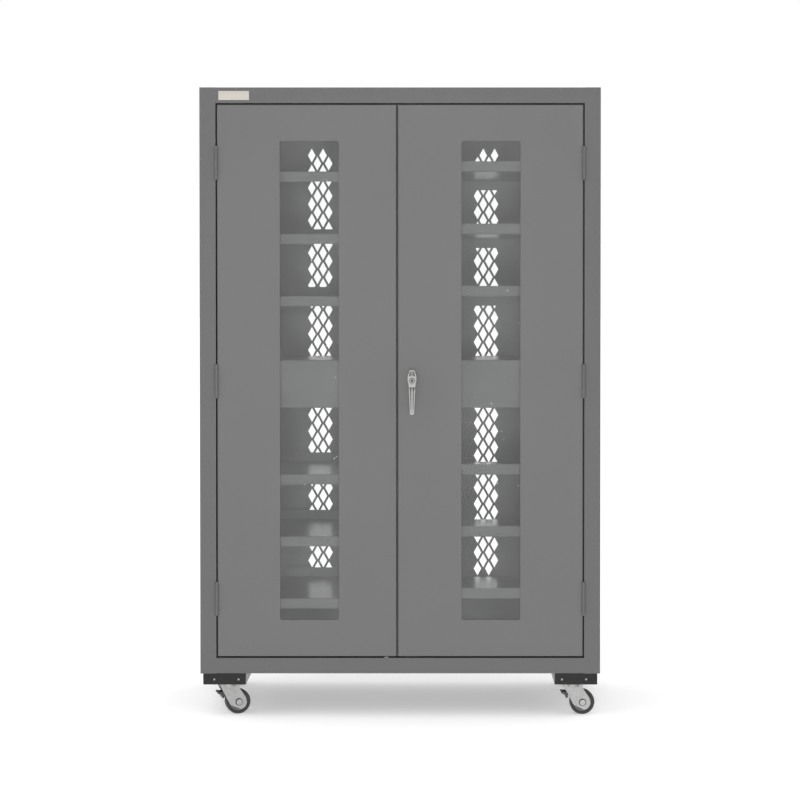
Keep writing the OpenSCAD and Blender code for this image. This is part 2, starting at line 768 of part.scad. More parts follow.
// The bolts of the end plates, and those that hold the casters
module base_bolts() {
    nut_z = mount_z + pad_t;
    color(zinc) for (s = [0, 1]) mirror([s, 0, 0]) {
        for (b = [0, 1], d = [-1, 1]) at_end(b) {
            rod_y(caster_x + d * end_bolt_dx, runner_y0, runner_y0 + end_bolt_l, end_bolt_z, end_bolt_r);
            rod_y(caster_x + d * end_bolt_dx, runner_y0 - end_head_t, runner_y0, end_bolt_z, end_head_r);
        }
        for (y = caster_y, u = [-1, 1], v = [-1, 1]) {
            x = caster_x + u * plate_bolt[1];
            rod_z(x, y + v * plate_bolt[0], mount_z - plate_t, nut_z + plate_nut_t + 2, plate_bolt_r);
            translate([x, y + v * plate_bolt[0], nut_z])
                cylinder(h = plate_nut_t, r = plate_head_r, $fn = 6);
            translate([x, y + v * plate_bolt[0], mount_z - plate_t - plate_head_t])
                cylinder(h = plate_head_t, r = plate_head_r, $fn = 6);
        }
    }
}

// The blank plate on the header, over the left door
module blank_plate() {
    z1 = top_z - blank_drop;
    color(cream) along_y(front_y - blank_t, front_y)
        polygon(rounded_box(blank_x, z1 - blank_h, blank_x + blank_w, z1, blank_r));
}

// Hinges

// The knuckles of one leaf, on the hinge axis at x = 0, y = 0, as [z0, z1] from the hinge's middle
frame_knuckles = [[-hinge_l / 2, -hinge_l / 4 - knuckle_c / 2], [hinge_l / 4 + knuckle_c / 2, hinge_l / 2]];
door_knuckles = [[-hinge_l / 4 + knuckle_c / 2, hinge_l / 4 - knuckle_c / 2]];

// A leaf of a left hinge, on the frame's side or the door's
module leaf(knuckles, toward) {
    x0 = toward < 0 ? -door_gap / 2 : door_gap / 2 - leaf_t;
    flat_y = front_y - axis_y;
    difference() {
        union() {
            block([x0, flat_y, -hinge_l / 2], [x0 + leaf_t, flat_y + leaf_d, hinge_l / 2]);
            for (k = knuckles) {
                rod_z(0, 0, k[0], k[1], knuckle_r);
                block([x0, 0, k[0]], [x0 + leaf_t, flat_y + 1, k[1]]);
            }
        }
        rod_z(0, 0, -hinge_l, hinge_l, hinge_pin_r + fit_c);
    }
}

module frame_hinge_leaves() {
    color(paint) for (s = [-1, 1]) on_side(s) for (z = hinge_z)
        translate([-axis_x, axis_y, z]) leaf(frame_knuckles, -1);
}

module door_hinge_leaves() {
    color(paint) for (z = hinge_z) translate([-axis_x, axis_y, z]) leaf(door_knuckles, 1);
}

module hinge_pins() {
    color(paint) for (s = [-1, 1]) on_side(s) for (z = hinge_z) {
        rod_z(-axis_x, axis_y, z - hinge_l / 2 - pin_head_h, z + hinge_l / 2 + pin_head_h, hinge_pin_r);
        for (k = [-1, 1])
            rod_z(-axis_x, axis_y, z + k * (hinge_l / 2 + pin_head_h / 2) - pin_head_h / 2,
                z + k * (hinge_l / 2 + pin_head_h / 2) + pin_head_h / 2, pin_head_r);
    }
}

// Doors

// A solid with the outer shape of a door pan, shrunk by inset on its sides
module door_solid(x0, x1, inset, y1) {
    z0 = door_z0 + inset;
    z1 = door_z1 - inset;
    y0 = front_y + inset;
    r = bend_r - inset;
    u0 = x0 + inset;
    u1 = x1 - inset;
    intersection() {
        along_z(z0, z1) polygon(rounded([[u0, y0, r], [u1, y0, r], [u1, y1, 0], [u0, y1, 0]]));
        along_x(x0, x1) polygon(rounded([[y0, z0, r], [y1, z0, 0], [y1, z1, 0], [y0, z1, r]]));
        along_y(y0, y1) polygon(rounded_box(u0, z0, u1, z1, corner_r - inset));
    }
}

// A door pan between x0 and x1 with its window
module door_pan(x0, x1, window) {
    difference() {
        door_solid(x0, x1, 0, door_back_y);
        door_solid(x0, x1, sheet_t, door_back_y - sheet_t);
        block([x0 + door_lip, skin_y + 5, door_z0 + door_lip],
            [x1 - door_lip, door_back_y + 1, door_z1 - door_lip]);
        along_y(front_y - 1, skin_y + 1) window_outline(window, 0, corner_r);
    }
}

module left_door() {
    color(paint) difference() {
        door_pan(-door_x, left_free_x, -window_x);
        rod_z(bolt_mid_x, bolt_y, door_z0 - 1, door_z0 + sheet_t + 1, bolt_r + curve_c);
        rod_z(bolt_mid_x, bolt_y, door_z1 - sheet_t - 1, door_z1 + 1, bolt_r + curve_c);
    }
}

module right_door() {
    color(paint) difference() {
        door_pan(right_free_x, door_x, window_x);
        rod_y(pivot_x, front_y - 1, skin_y + 1, pivot_z, shaft_r + fit_c);
        rod_slot(1, door_z1 - sheet_t - 1, door_z1 + 1);
        rod_slot(-1, door_z0 - 1, door_z0 + sheet_t + 1);
    }
}

// The window's outline at x, made larger all round by grow
module window_outline(x, grow, r) {
    polygon(rounded_box(x - window_w / 2 - grow, window_z0 - grow, x + window_w / 2 + grow,
        window_z0 + window_h + grow, r));
}

// The clear sheet behind a window, and the retainer frame that holds its edges
module glazing(x) {
    color(clear) along_y(skin_y, skin_y + glazing_t) window_outline(x, glazing_lap, glazing_r);
}

module retainer(x) {
    color(inside_paint) difference() {
        along_y(skin_y, skin_y + glazing_t + sheet_t) window_outline(x, retainer_w, glazing_r);
        along_y(skin_y - 1, skin_y + glazing_t + fit_c) window_outline(x, glazing_lap + seat_c, glazing_r);
        along_y(skin_y, skin_y + glazing_t + sheet_t + 1) window_outline(x, 1, corner_r);
    }
}

// The left door's upper bolt, which runs in two lugs; its knob stops against them
module upper_bolt() {
    z1 = door_z1 - rod_end_c;
    color(zinc) {
        rod_z(bolt_mid_x, bolt_y, z1 - bolt_l, z1, bolt_r);
        rod_y(bolt_mid_x, bolt_y, bolt_y + knob_l, z1 - bolt_l / 2, knob_r);
    }
}

module upper_housing() {
    low = door_z1 - rod_end_c - bolt_l / 2 - knob_r - seat_c;
    high = low + lug_gap;
    reach = bolt_lug_t + bolt_plate_end;
    x0 = bolt_mid_x - bolt_lug_w / 2;
    x1 = bolt_mid_x + bolt_lug_w / 2;
    lug = rounded([[x0, skin_y, 0], [x1, skin_y, 0], [x1, bolt_y + bolt_lug_top, bolt_lug_r],
        [x0, bolt_y + bolt_lug_top, bolt_lug_r]]);
    color(zinc) difference() {
        union() {
            block([bolt_mid_x - bolt_plate_w / 2, skin_y, low - reach],
                [bolt_mid_x + bolt_plate_w / 2, skin_y + bolt_plate_t, high + reach]);
            for (z = [low - bolt_lug_t, high]) along_z(z, z + bolt_lug_t) polygon(lug);
        }
        rod_z(bolt_mid_x, bolt_y, low - reach, high + reach, bolt_r + fit_c);
    }
}

// A copy of a piece at the top of the door, turned over to its bottom
module at_bottom() { translate([0, 0, door_z0 + door_z1]) mirror([0, 0, 1]) children(); }

module left_bolt_housings() {
    upper_housing();
    at_bottom() upper_housing();
}

// Right door latch

// A slot for a latch rod, way 1 for the upper rod and -1 for the lower
module rod_slot(way, z0, z1) {
    block([pivot_x + way * rod_x - rod_w / 2 - slide_c, rod_y - slide_c, z0],
        [pivot_x + way * rod_x + rod_w / 2 + slide_c, rod_y + rod_t + slide_c, z1]);
}

// A rod with a cross slot in its head for the cam's pin, way 1 up and -1 down
module latch_rod(way) {
    pin_z = pivot_z - way * latch_travel / 2;
    end_z = way > 0 ? door_z1 - rod_end_c : door_z0 + rod_end_c;
    x = pivot_x + way * rod_x;
    z = [min(pin_z, end_z), max(pin_z, end_z)];
    color(zinc) difference() {
        union() {
            block([x - rod_w / 2, rod_y, z[0]], [x + rod_w / 2, rod_y + rod_t, z[1]]);
            along_y(rod_y, rod_y + rod_t) polygon(rounded_box(x - rod_head_w / 2, pin_z - rod_head_h / 2,
                x + rod_head_w / 2, pin_z + rod_head_h / 2, rod_head_r));
        }
        along_y(rod_y - 1, rod_y + rod_t + 1) polygon(rounded_box(x - pin_slot_w / 2, pin_z - pin_slot_h / 2,
            x + pin_slot_w / 2, pin_z + pin_slot_h / 2, cam_pin_r + 0.5));
    }
}

// Guides for the rods, two for each
module rod_guides() {
    back = rod_y + rod_t + guide_t + 1;
    color(zinc) for (way = [-1, 1], k = [0, 1]) {
        rod_l = way > 0 ? door_z1 - pivot_z : pivot_z - door_z0;
        z = pivot_z + way * (guide_at + k * guide_span * rod_l);
        x = pivot_x + way * rod_x;
        x0 = x - guide_w / 2;
        x1 = x + guide_w / 2;
        outline = [[x0, skin_y, 0], [x1, skin_y, 0], [x1, back, guide_t], [x0, back, guide_t]];
        difference() {
            along_z(z - guide_h / 2, z + guide_h / 2) polygon(rounded(outline));
            rod_slot(way, z - guide_h, z + guide_h);
            block([x0 + guide_t, skin_y + guide_t - 1, z - guide_h],
                [x1 - guide_t, rod_y - guide_t, z + guide_h]);
        }
    }
}

// The cam on the handle's shaft, with a pin for each rod; its arms stand at 45 degrees at rest
module latch_cam() {
    reach = cam_r + cam_w / 2;
    arms = rounded_box(-reach, -cam_w / 2, reach, cam_w / 2, cam_w / 2 - 0.1, 8);
    color(zinc) translate([pivot_x, 0, pivot_z]) rotate([0, cam_angle, 0]) difference() {
        union() {
            along_y(cam_y, cam_y + cam_t) polygon(arms);
            for (s = [-1, 1]) rod_y(s * cam_r, cam_y, rod_y + rod_t + 2, 0, cam_pin_r);
        }
        rod_y(0, cam_y - 1, cam_y + cam_t + 1, 0, shaft_r + fit_c);
    }
}

// The handle's outline from the front, from the pivot
module handle_outline() {
    half = head_w / 2;
    right = [[head_crown, head_top, 7.5], [half - 1.5, head_top / 2, 20], [half + 0.2, 6, 14],
        [half - 1.3, -6, 14], [neck_w / 2, neck_z, 12], [lever_w / 2, neck_z - 19, lever_side_r],
        [tip_w / 2 + 0.3, -lever_l + 12, lever_side_r], [tip_w / 2, -lever_l, tip_r]];
    n = len(right) - 1;
    polygon(rounded(concat(right, [for (k = [n:-1:0]) [-right[k][0], right[k][1], right[k][2]]]), 6));
}

// The handle's outline from the side, as Y and the height over the pivot
module handle_side() {
    base_y = front_y - 1;
    foot_z = -lever_l;
    polygon(rounded([[base_y, head_top, 0], [base_y, neck_z + 3, 4], [head_y + 4, neck_z - 5, 14],
        [head_y - 2, foot_z + lever_foot, lever_bend_r], [handle_y + 7, foot_z, 3], [handle_y, foot_z, 4],
        [handle_y, foot_z + 26, lever_bend_r], [head_y - 9, neck_z - 13, 16],
        [head_y - 0.4, neck_z + 1, 16],
        [head_y, head_top - 20, 20], [head_y + 9, head_top, 8]], 6));
}

// Cuts a hollow of the given outline to groove_d under the handle's front
module groove(outline) {
    difference() {
        along_y(handle_y - 1, front_y - 1) polygon(rounded(outline));
        translate([0, groove_d, 0]) along_x(-head_w, head_w) handle_side();
    }
}

// The handle: a cast head round the lock, a lever below it and a shaft through the door
module handle() {
    rim = head_w / 2 - groove_rim;
    boss_z = boss_r + 2;
    chin = rounded([[-boss_r + 1.5, -3, 1], [boss_r - 1.5, -3, 1], [0, neck_z - 1, 2]]);
    color(zinc) {
        difference() {
            translate([pivot_x, 0, pivot_z]) difference() {
                union() {
                    intersection() {
                        along_y(handle_y - 1, front_y) handle_outline();
                        along_x(-head_w, head_w) handle_side();
                    }
                    rod_y(0, head_y - boss_rise, head_y + 4, 0, boss_r);
                    along_y(head_y - boss_rise - 1.5, head_y + 4) polygon(chin);
                }
                for (s = [-1, 1]) {
                    groove([[s * groove_rib, boss_z + 1, 0.8], [s * (rim - 1), boss_z - 1, 2],
                        [s * (rim - 3), head_top - 9, 4], [s * groove_rib, head_top - 4, 1]]);
                    groove([[s * groove_rib, neck_z - 5, 0.8], [s * (neck_w / 2 - groove_rim), neck_z - 1, 2],
                        [s * (tip_w / 2 - groove_rim + 0.6), -lever_l + 16, 2],
                        [s * groove_rib, -lever_l + 12, 1]]);
                }
            }
            rod_y(pivot_x, handle_y - 1, head_y + plug_d, pivot_z, plug_r + fit_c);
        }
        rod_y(pivot_x, front_y - 2, cam_y + cam_t + 0.5, pivot_z, shaft_r);
    }
}

// The lock plug in the handle's head, with its keyway
module lock_plug() {
    y0 = head_y - plug_rise;
    color(zinc) difference() {
        rod_y(pivot_x, y0, head_y + plug_d - fit_c, pivot_z, plug_r);
        block([pivot_x - keyway_w / 2, y0 - 1, pivot_z - keyway_h / 2],
            [pivot_x + keyway_w / 2, y0 + keyway_d, pivot_z + keyway_h / 2]);
    }
}

// Casters

// Puts children, drawn with the swivel axis at x = 0, y = 0, at caster i and turned to its yaw
module at_caster(i, turned = true) {
    translate([(i % 2 == 0 ? -1 : 1) * caster_x, caster_y[i < 2 ? 0 : 1], 0])
        rotate([0, 0, turned ? caster_yaw[i] : 0]) children();
}

// The fixed part of a caster: top plate, upper race and kingpin
module caster_plates() {
    color(zinc) for (i = [0:3]) at_caster(i, false) difference() {
        union() {
            along_z(mount_z - plate_t, mount_z)
                polygon(rounded_box(-plate_w / 2, -plate_l / 2, plate_w / 2, plate_l / 2, plate_r));
            rod_z(0, 0, crown_z1 + seat_c, mount_z - plate_t + 1, race_r);
            rod_z(0, 0, crown_z0 - race_t, mount_z - plate_t, kingpin_r);
            rod_z(0, 0, crown_z0 - seat_c - race_t - 1, crown_z0 - seat_c, kingpin_r + 4);
        }
        for (u = [-1, 1], v = [-1, 1])
            rod_z(u * plate_bolt[1], v * plate_bolt[0], mount_z - plate_t - 1, mount_z + 1,
                plate_bolt_r + fit_c);
    }
}

// A fork: crown with the lower race, two legs, the axle bolt and, on the front casters, the pedal's pin
module fork(i) {
    ax = wheel_r;
    outside = leg_y + leg_t + fit_c;
    leg = rounded([[-crown_r, crown_z1 - 3, 2], [crown_r, crown_z1 - 3, 2], [crown_r + 1, crown_z0 - 5, 12],
        [trail + leg_r - 2, ax + 15, 20], [trail + leg_r + 3, ax - 4, 12],
        [trail + leg_r - 4, ax - leg_r + 4, 10],
        [trail + 6, ax - leg_r - 1, 8], [trail - leg_cut[0], ax - 7, 10],
        [trail - leg_cut[1], ax + leg_cut[2], leg_cut_r],
        [-crown_r, crown_z0 - 2, 10]]);
    color(zinc) at_caster(i) {
        difference() {
            union() {
                rod_z(0, 0, crown_z0, crown_z1, crown_r);
                for (s = [0, 1]) mirror([0, s, 0]) along_y(leg_y, leg_y + leg_t) polygon(leg);
            }
            rod_z(0, 0, crown_z0 - 1, crown_z1 + 1, kingpin_r + fit_c);
            rod_y(trail, -leg_y - leg_t - 1, leg_y + leg_t + 1, ax, axle_r + fit_c);
        }
        rod_y(trail, -outside, outside + 1, ax, axle_r);
        rod_y(trail, -outside - axle_head_t, -outside, ax, axle_head_r);
        translate([trail, outside + axle_nut_t, ax]) rotate([90, 0, 0])
            cylinder(h = axle_nut_t, r = axle_nut_r, $fn = 6);
        if (i < 2) rod_y(pedal_x, -leg_y - leg_t / 2, leg_y + leg_t / 2, pedal_z, pedal_pin_r);
    }
}

// A wheel: a core that runs on the axle bolt, with a tyre round it
module wheel(i) {
    core_r = hub_r - fit_c;
    half = wheel_w / 2;
    boss = leg_y - seat_c;
    core = [[hub_boss_r, boss], [hub_boss_r + 1, half - hub_web], [core_r - hub_rim - 1.5, half - hub_web],
        [core_r - hub_rim, half - 2], [core_r, half - 2]];
    tyre = [[hub_r, half - 1], [hub_r + 3, half], [wheel_r - tread_r - 0.5, half],
        [wheel_r - 1, half - tread_r],
        [wheel_r, half - 2 * tread_r - 1]];
    at_caster(i) translate([trail, 0, wheel_r]) rotate([90, 0, 0]) {
        color(zinc) rotate_extrude() polygon(concat([[axle_r + fit_c, -boss], [axle_r + fit_c, boss]], core,
            [for (k = [len(core) - 1:-1:0]) [core[k][0], -core[k][1]]]));
        color(tyre_black) rotate_extrude() polygon(concat(tyre,
            [for (k = [len(tyre) - 1:-1:0]) [tyre[k][0], -tyre[k][1]]]));
    }
}

// A brake pedal on its pin between the fork's legs, with its pad turned down beside the tyre
module pedal(i) {
    nose = pedal_x - pedal_l;
    top = pedal_z + pedal_r;
    side = rounded([[pedal_x, top, 0], [nose + 8, top - 1.5, 10], [nose, top + 1, 2.5], [nose, top - 6, 2.5],
        [pedal_x - 14, pedal_z - 6, 4], [pedal_x - 10.5, pedal_z - 15, 2], [pedal_x - 6, pedal_z - 15, 1.5],
        [pedal_x - 3.5, pedal_z - pedal_r, 2], [pedal_x, pedal_z - pedal_r, 0]]);
    color(black) at_caster(i) difference() {
        union() {
            rod_y(pedal_x, -pedal_w / 2, pedal_w / 2, pedal_z, pedal_r);
            along_y(-pedal_w / 2, pedal_w / 2) polygon(side);
        }
        rod_y(pedal_x, -pedal_w, pedal_w, pedal_z, pedal_pin_r + fit_c);
    }
}

// Nodes

side_panel();  // left_side_panel
on_side(1) side_panel();  // right_side_panel
top_panel();
bottom_panel();
back_panel();
centre_partition();
shelf_standards();
shelf_clips();
for (s = [0, 1]) for (i = [1:shelf_count])
    shelf(s == 0 ? -1 : 1, i);
power_shelf();  // left_power_shelf
on_side(1) power_shelf();  // right_power_shelf
power_strips();
strip_switch();  // left_strip_switch
on_side(1) strip_switch();  // right_strip_switch
cord_grommets();
base_runners();
runner_end_plates();
base_bolts();
blank_plate();
frame_hinge_leaves();
hinge_pins();
caster_plates();
left_door();
glazing(-window_x);  // left_window
retainer(-window_x);  // left_window_retainer
door_hinge_leaves();  // left_hinge_leaves
left_bolt_housings();
upper_bolt();  // left_upper_bolt
at_bottom() upper_bolt();  // left_lower_bolt
right_door();
glazing(window_x);  // right_window
retainer(window_x);  // right_window_retainer
on_side(1) door_hinge_leaves();  // right_hinge_leaves
rod_guides();
handle();
lock_plug();
latch_cam();
latch_rod(1);  // upper_latch_rod
latch_rod(-1);  // lower_latch_rod
for (i = [0:3]) fork(i);
for (i = [0:3]) wheel(i);
for (i = [0, 1]) pedal(i);
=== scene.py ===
import json
import math

import bmesh
import bpy
from mathutils import Matrix, Vector


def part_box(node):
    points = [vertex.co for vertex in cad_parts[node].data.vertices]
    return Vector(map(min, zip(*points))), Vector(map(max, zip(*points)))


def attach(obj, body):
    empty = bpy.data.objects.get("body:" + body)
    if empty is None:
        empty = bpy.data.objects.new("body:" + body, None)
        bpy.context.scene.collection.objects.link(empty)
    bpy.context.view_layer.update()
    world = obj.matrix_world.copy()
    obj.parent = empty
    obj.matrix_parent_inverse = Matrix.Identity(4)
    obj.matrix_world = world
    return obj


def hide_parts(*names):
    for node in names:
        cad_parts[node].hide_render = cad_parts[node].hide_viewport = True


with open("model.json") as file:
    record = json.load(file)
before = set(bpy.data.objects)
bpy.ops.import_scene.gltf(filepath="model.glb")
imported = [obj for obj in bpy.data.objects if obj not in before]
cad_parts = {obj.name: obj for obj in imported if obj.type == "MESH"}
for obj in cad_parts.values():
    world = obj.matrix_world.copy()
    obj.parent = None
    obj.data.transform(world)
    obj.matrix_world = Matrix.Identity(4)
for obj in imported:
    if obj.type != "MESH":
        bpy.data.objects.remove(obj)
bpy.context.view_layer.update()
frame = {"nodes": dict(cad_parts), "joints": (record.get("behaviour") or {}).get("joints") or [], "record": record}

# The cabinet's lengths are given in mm, and those of the camera and the studio in metres
MM = 0.001
TO_MM = 1000

record = frame["record"]
joints = {joint["name"]: joint for joint in frame["joints"]}
slots = {part["node"]: part["material_slot"] for part in record["subparts"]}
bodies = record["behaviour"]["bodies"]
body_of = {node: body for body, nodes in bodies.items() for node in nodes}
SIDES = ("left", "right")
CORNERS = ("front_left", "front_right", "back_left", "back_right")
SHELVES = 6


# Camera: the photograph's eye is about chest high, well back from the doors, and a little to the
# right of the middle

door_lo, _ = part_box("right_door")
FRONT = door_lo[1]
EYE_BACK = 6.3
EYE_X = 0.106
EYE_Y = FRONT - EYE_BACK
EYE_Z = 1.272
SENSOR = 36.0  # mm
PIXELS = 800
MM_PER_PIXEL = 3.040  # at the doors
VANISH_X = 435  # the pixel straight ahead of the eye
VANISH_Y = 300.6
TILT = 1.0  # degrees down: as much as the photograph's upright lines allow, and the rest is shift
CLIP_NEAR = 0.05
CLIP_FAR = 400


def make_camera():
    data = bpy.data.cameras.new("camera")
    data.sensor_width = SENSOR
    data.lens = EYE_BACK / (PIXELS / SENSOR * MM_PER_PIXEL * MM)
    tilt_shift = math.tan(math.radians(TILT)) * data.lens / SENSOR
    data.shift_x = (PIXELS / 2 - VANISH_X) / PIXELS
    data.shift_y = (VANISH_Y - PIXELS / 2) / PIXELS + tilt_shift
    data.clip_start = CLIP_NEAR
    data.clip_end = CLIP_FAR
    camera = bpy.data.objects.new("camera", data)
    camera.location = (EYE_X, EYE_Y, EYE_Z)
    camera.rotation_euler = (math.radians(90 - TILT), 0, 0)
    bpy.context.collection.objects.link(camera)
    bpy.context.scene.camera = camera


# Studio: even white all round, two soft lamps, a pale floor, and a dome for the reflections

WHITE = (1, 1, 1, 1)
FLOOR_HALF = 150
FLOOR_GLOW = 0.25
DOME_R = 12
# How brightly the dome glows: two distances from the middle, and the glow at each
DOME_ENDS = (8.0, 11.3, 0.14, 0.95)  # along Y, before and behind
DOME_ABOVE = (1.4, 6.0, 0.0, 1.0)  # along Z, added to the ends
DOME_BELOW = (-3.5, -0.8, 1.3, 0.0)


def soft_light(name, place, target, size, power, glossy=True):
    """A square lamp that the camera doesn't see, with its power in watts."""
    data = bpy.data.lights.new(name, "AREA")
    data.shape = "RECTANGLE"
    data.size = data.size_y = size
    data.energy = power
    light = bpy.data.objects.new(name, data)
    light.location = place
    aim = Vector(target) - Vector(place)
    light.rotation_euler = aim.to_track_quat("-Z", "Y").to_euler()
    light.visible_camera = False
    light.visible_glossy = glossy
    bpy.context.collection.objects.link(light)


def make_studio():
    bpy.context.scene.view_settings.view_transform = "Standard"
    world = bpy.data.worlds.new("studio")
    bpy.context.scene.world = world
    world.use_nodes = True
    background = world.node_tree.nodes["Background"]
    background.inputs["Color"].default_value = WHITE
    background.inputs["Strength"].default_value = 1.0
    soft_light("front_box", place=(EYE_X, EYE_Y, 0.85), target=(0, 0, 0.6), size=1.6, power=460,
               glossy=False)
    soft_light("side_box", place=(-3.6, FRONT - 1.8, 2.6), target=(0, 0, 1.0), size=2.0, power=15)


def make_floor():
    bm = bmesh.new()
    bmesh.ops.create_grid(bm, x_segments=1, y_segments=1, size=FLOOR_HALF)
    floor = linked("floor", bm)
    floor.visible_glossy = False
    material, shader, _ = new_material("pale_floor", (0.86, 0.86, 0.86), 0.9)
    shader.inputs["Specular IOR Level"].default_value = 0.0
    shader.inputs["Emission Color"].default_value = WHITE
    shader.inputs["Emission Strength"].default_value = FLOOR_GLOW
    floor.data.materials.append(material)


def make_reflections():
    """What polished metal and the windows mirror, and nothing else sees: a room that is pale
    before and behind, and brightest at the floor."""
    bm = bmesh.new()
    bmesh.ops.create_icosphere(bm, subdivisions=4, radius=DOME_R)
    room = linked("reflections", bm)
    room.visible_camera = False
    room.visible_diffuse = False
    room.visible_transmission = False
    room.visible_shadow = False
    material, _, tree = new_material("reflections", (0, 0, 0), 1.0)
    place = object_place(tree)
    apart = tree.nodes.new("ShaderNodeSeparateXYZ")
    tree.links.new(place, apart.inputs["Vector"])
    along = calculated(tree, "ABSOLUTE", apart.outputs["Y"])
    ends = calculated(tree, "MULTIPLY", remap(tree, along, *DOME_ENDS),
                      wander(tree, place, DOME_PATCHES))
    above = remap(tree, apart.outputs["Z"], *DOME_ABOVE)
    below = remap(tree, apart.outputs["Z"], *DOME_BELOW)
    strength = calculated(tree, "ADD", calculated(tree, "ADD", ends, above), below)
    glow = tree.nodes.new("ShaderNodeEmission")
    tree.links.new(strength, glow.inputs["Strength"])
    show(tree, glow.outputs["Emission"])
    room.data.materials.append(material)


# Material nodes

def new_material(name, colour, roughness, metallic=0.0):
    material = bpy.data.materials.new(name)
    material.use_nodes = True
    shader = material.node_tree.nodes["Principled BSDF"]
    shader.inputs["Base Color"].default_value = (*colour, 1)
    shader.inputs["Roughness"].default_value = roughness
    shader.inputs["Metallic"].default_value = metallic
    return material, shader, material.node_tree


def show(tree, shader):
    """Makes a shader the one that the surface shows."""
    tree.links.new(shader, tree.nodes["Material Output"].inputs["Surface"])


def object_place(tree):
    return tree.nodes.new("ShaderNodeTexCoord").outputs["Object"]


def stretched(tree, place, scale):
    """The place with each axis scaled, for grain that runs one way."""
    node = tree.nodes.new("ShaderNodeMapping")
    node.inputs["Scale"].default_value = scale
    tree.links.new(place, node.inputs["Vector"])
    return node.outputs["Vector"]


def noise(tree, place, waves, detail=2.0, roughness=0.5):
    """A noise of about this many waves a metre."""
    node = tree.nodes.new("ShaderNodeTexNoise")
    node.inputs["Scale"].default_value = waves
    node.inputs["Detail"].default_value = detail
    node.inputs["Roughness"].default_value = roughness
    tree.links.new(place, node.inputs["Vector"])
    return node.outputs["Fac"]


def remap(tree, value, low, high, out_low, out_high):
    """The value, with what lies between low and high stretched between the two results."""
    node = tree.nodes.new("ShaderNodeMapRange")
    limits = {"From Min": low, "From Max": high, "To Min": out_low, "To Max": out_high}
    for socket, number in limits.items():
        node.inputs[socket].default_value = number
    tree.links.new(value, node.inputs["Value"])
    return node.outputs["Result"]


def wander(tree, place, pattern, about=0.0, roughness=0.5):
    """A value that follows a pattern over the surface, with its results counted from about."""
    waves, detail, share, low, high = pattern
    waving = noise(tree, place, waves, detail, roughness)
    return remap(tree, waving, *share, about + low, about + high)


def calculated(tree, operation, *values):
    """The result of one Math node."""
    node = tree.nodes.new("ShaderNodeMath")
    node.operation = operation
    for socket, value in zip(node.inputs, values):
        tree.links.new(value, socket)
    return node.outputs["Value"]


def tint(tree, colour, value):
    """The colour made lighter or darker by a value near 1."""
    node = tree.nodes.new("ShaderNodeVectorMath")
    node.operation = "SCALE"
    node.inputs[0].default_value = colour
    tree.links.new(value, node.inputs["Scale"])
    return node.outputs["Vector"]


def bump(tree, shader, height, strength, distance):
    node = tree.nodes.new("ShaderNodeBump")
    node.inputs["Strength"].default_value = strength
    node.inputs["Distance"].default_value = distance
    tree.links.new(height, node.inputs["Height"])
    tree.links.new(node.outputs["Normal"], shader.inputs["Normal"])


def mixed(tree, share, first, second):
    """Two shaders in one, with this share of the second."""
    node = tree.nodes.new("ShaderNodeMixShader")
    tree.links.new(share, node.inputs["Fac"])
    tree.links.new(first, node.inputs[1])
    tree.links.new(second, node.inputs[2])
    return node.outputs["Shader"]


# Materials

# The part of a noise's values that is stretched to the results
WHOLE = (0.15, 0.85)
MIDDLE = (0.3, 0.7)
SPOTS = (0.2, 0.26)

# Patterns: waves a metre, detail, part of the noise, and the two results that they go between.
# Tones, specks and bloom multiply a colour, and the dome's patches its glow. The gloss of paint
# and plating is added to a roughness. The sheet's gloss is a roughness, and its haze a share.
DOME_PATCHES = (0.4, 2, (0.35, 0.65), 0.9, 1.05)
PAINT_TONE = (2.6, 3, WHOLE, 0.97, 1.03)
PAINT_SPECKS = (210.0, 1, SPOTS, 0.9, 1.0)
PAINT_GLOSS = (9.0, 2, WHOLE, -0.01, 0.015)
PLATING_TONE = (160.0, 4, MIDDLE, 0.86, 1.08)
PLATING_GLOSS = (60.0, 3, MIDDLE, -0.08, 0.12)
MOULD_BLOOM = (40.0, 3, MIDDLE, 0.85, 1.2)
SHEET_GLOSS = (5.0, 3, MIDDLE, 0.05, 0.08)
SHEET_HAZE = (7.0, 3, MIDDLE, 0.02, 0.032)

# Streaks of a rubbed metal, whose one noise gives tone, gloss and height
STREAKS = {"waves": 60.0, "detail": 3, "roughness": 0.6}
STREAK_TONE = (0.9, 1.06)
STREAK_GLOSS = (-0.05, 0.1)

# Fine bumps: waves a metre, strength, and height in metres. The strength of the paint's orange
# peel is given with each paint, and the waves of the streaks are above.
PEEL_WAVES = 700.0
PEEL_HEIGHT = 0.0002
STREAK_STRENGTH = 0.15
STREAK_HEIGHT = 0.0001
PLATING_BUMPS = (900.0, 0.2, 0.0001)
MOULD_BUMPS = (1100.0, 0.3, 0.0002)

PLATING_ROUGHNESS = 0.6  # of the noise that gives its tone
SHEET_CLEAR = (0.965, 0.975, 0.972, 1)
SHEET_IOR = 1.38


def powder_coat(name, colour, roughness=0.42, shine=0.3, peel=0.15):
    """Baked powder paint: slow changes of tone, a speck here and there, and a fine orange peel
    unless peel is 0."""
    material, shader, tree = new_material(name, colour, roughness)
    shader.inputs["Specular IOR Level"].default_value = shine
    place = object_place(tree)
    tone = calculated(tree, "MULTIPLY", wander(tree, place, PAINT_TONE),
                      wander(tree, place, PAINT_SPECKS))
    tree.links.new(tint(tree, colour, tone), shader.inputs["Base Color"])
    if peel:
        gloss = wander(tree, place, PAINT_GLOSS, roughness)
        tree.links.new(gloss, shader.inputs["Roughness"])
        bump(tree, shader, noise(tree, place, PEEL_WAVES), peel, PEEL_HEIGHT)
    return material


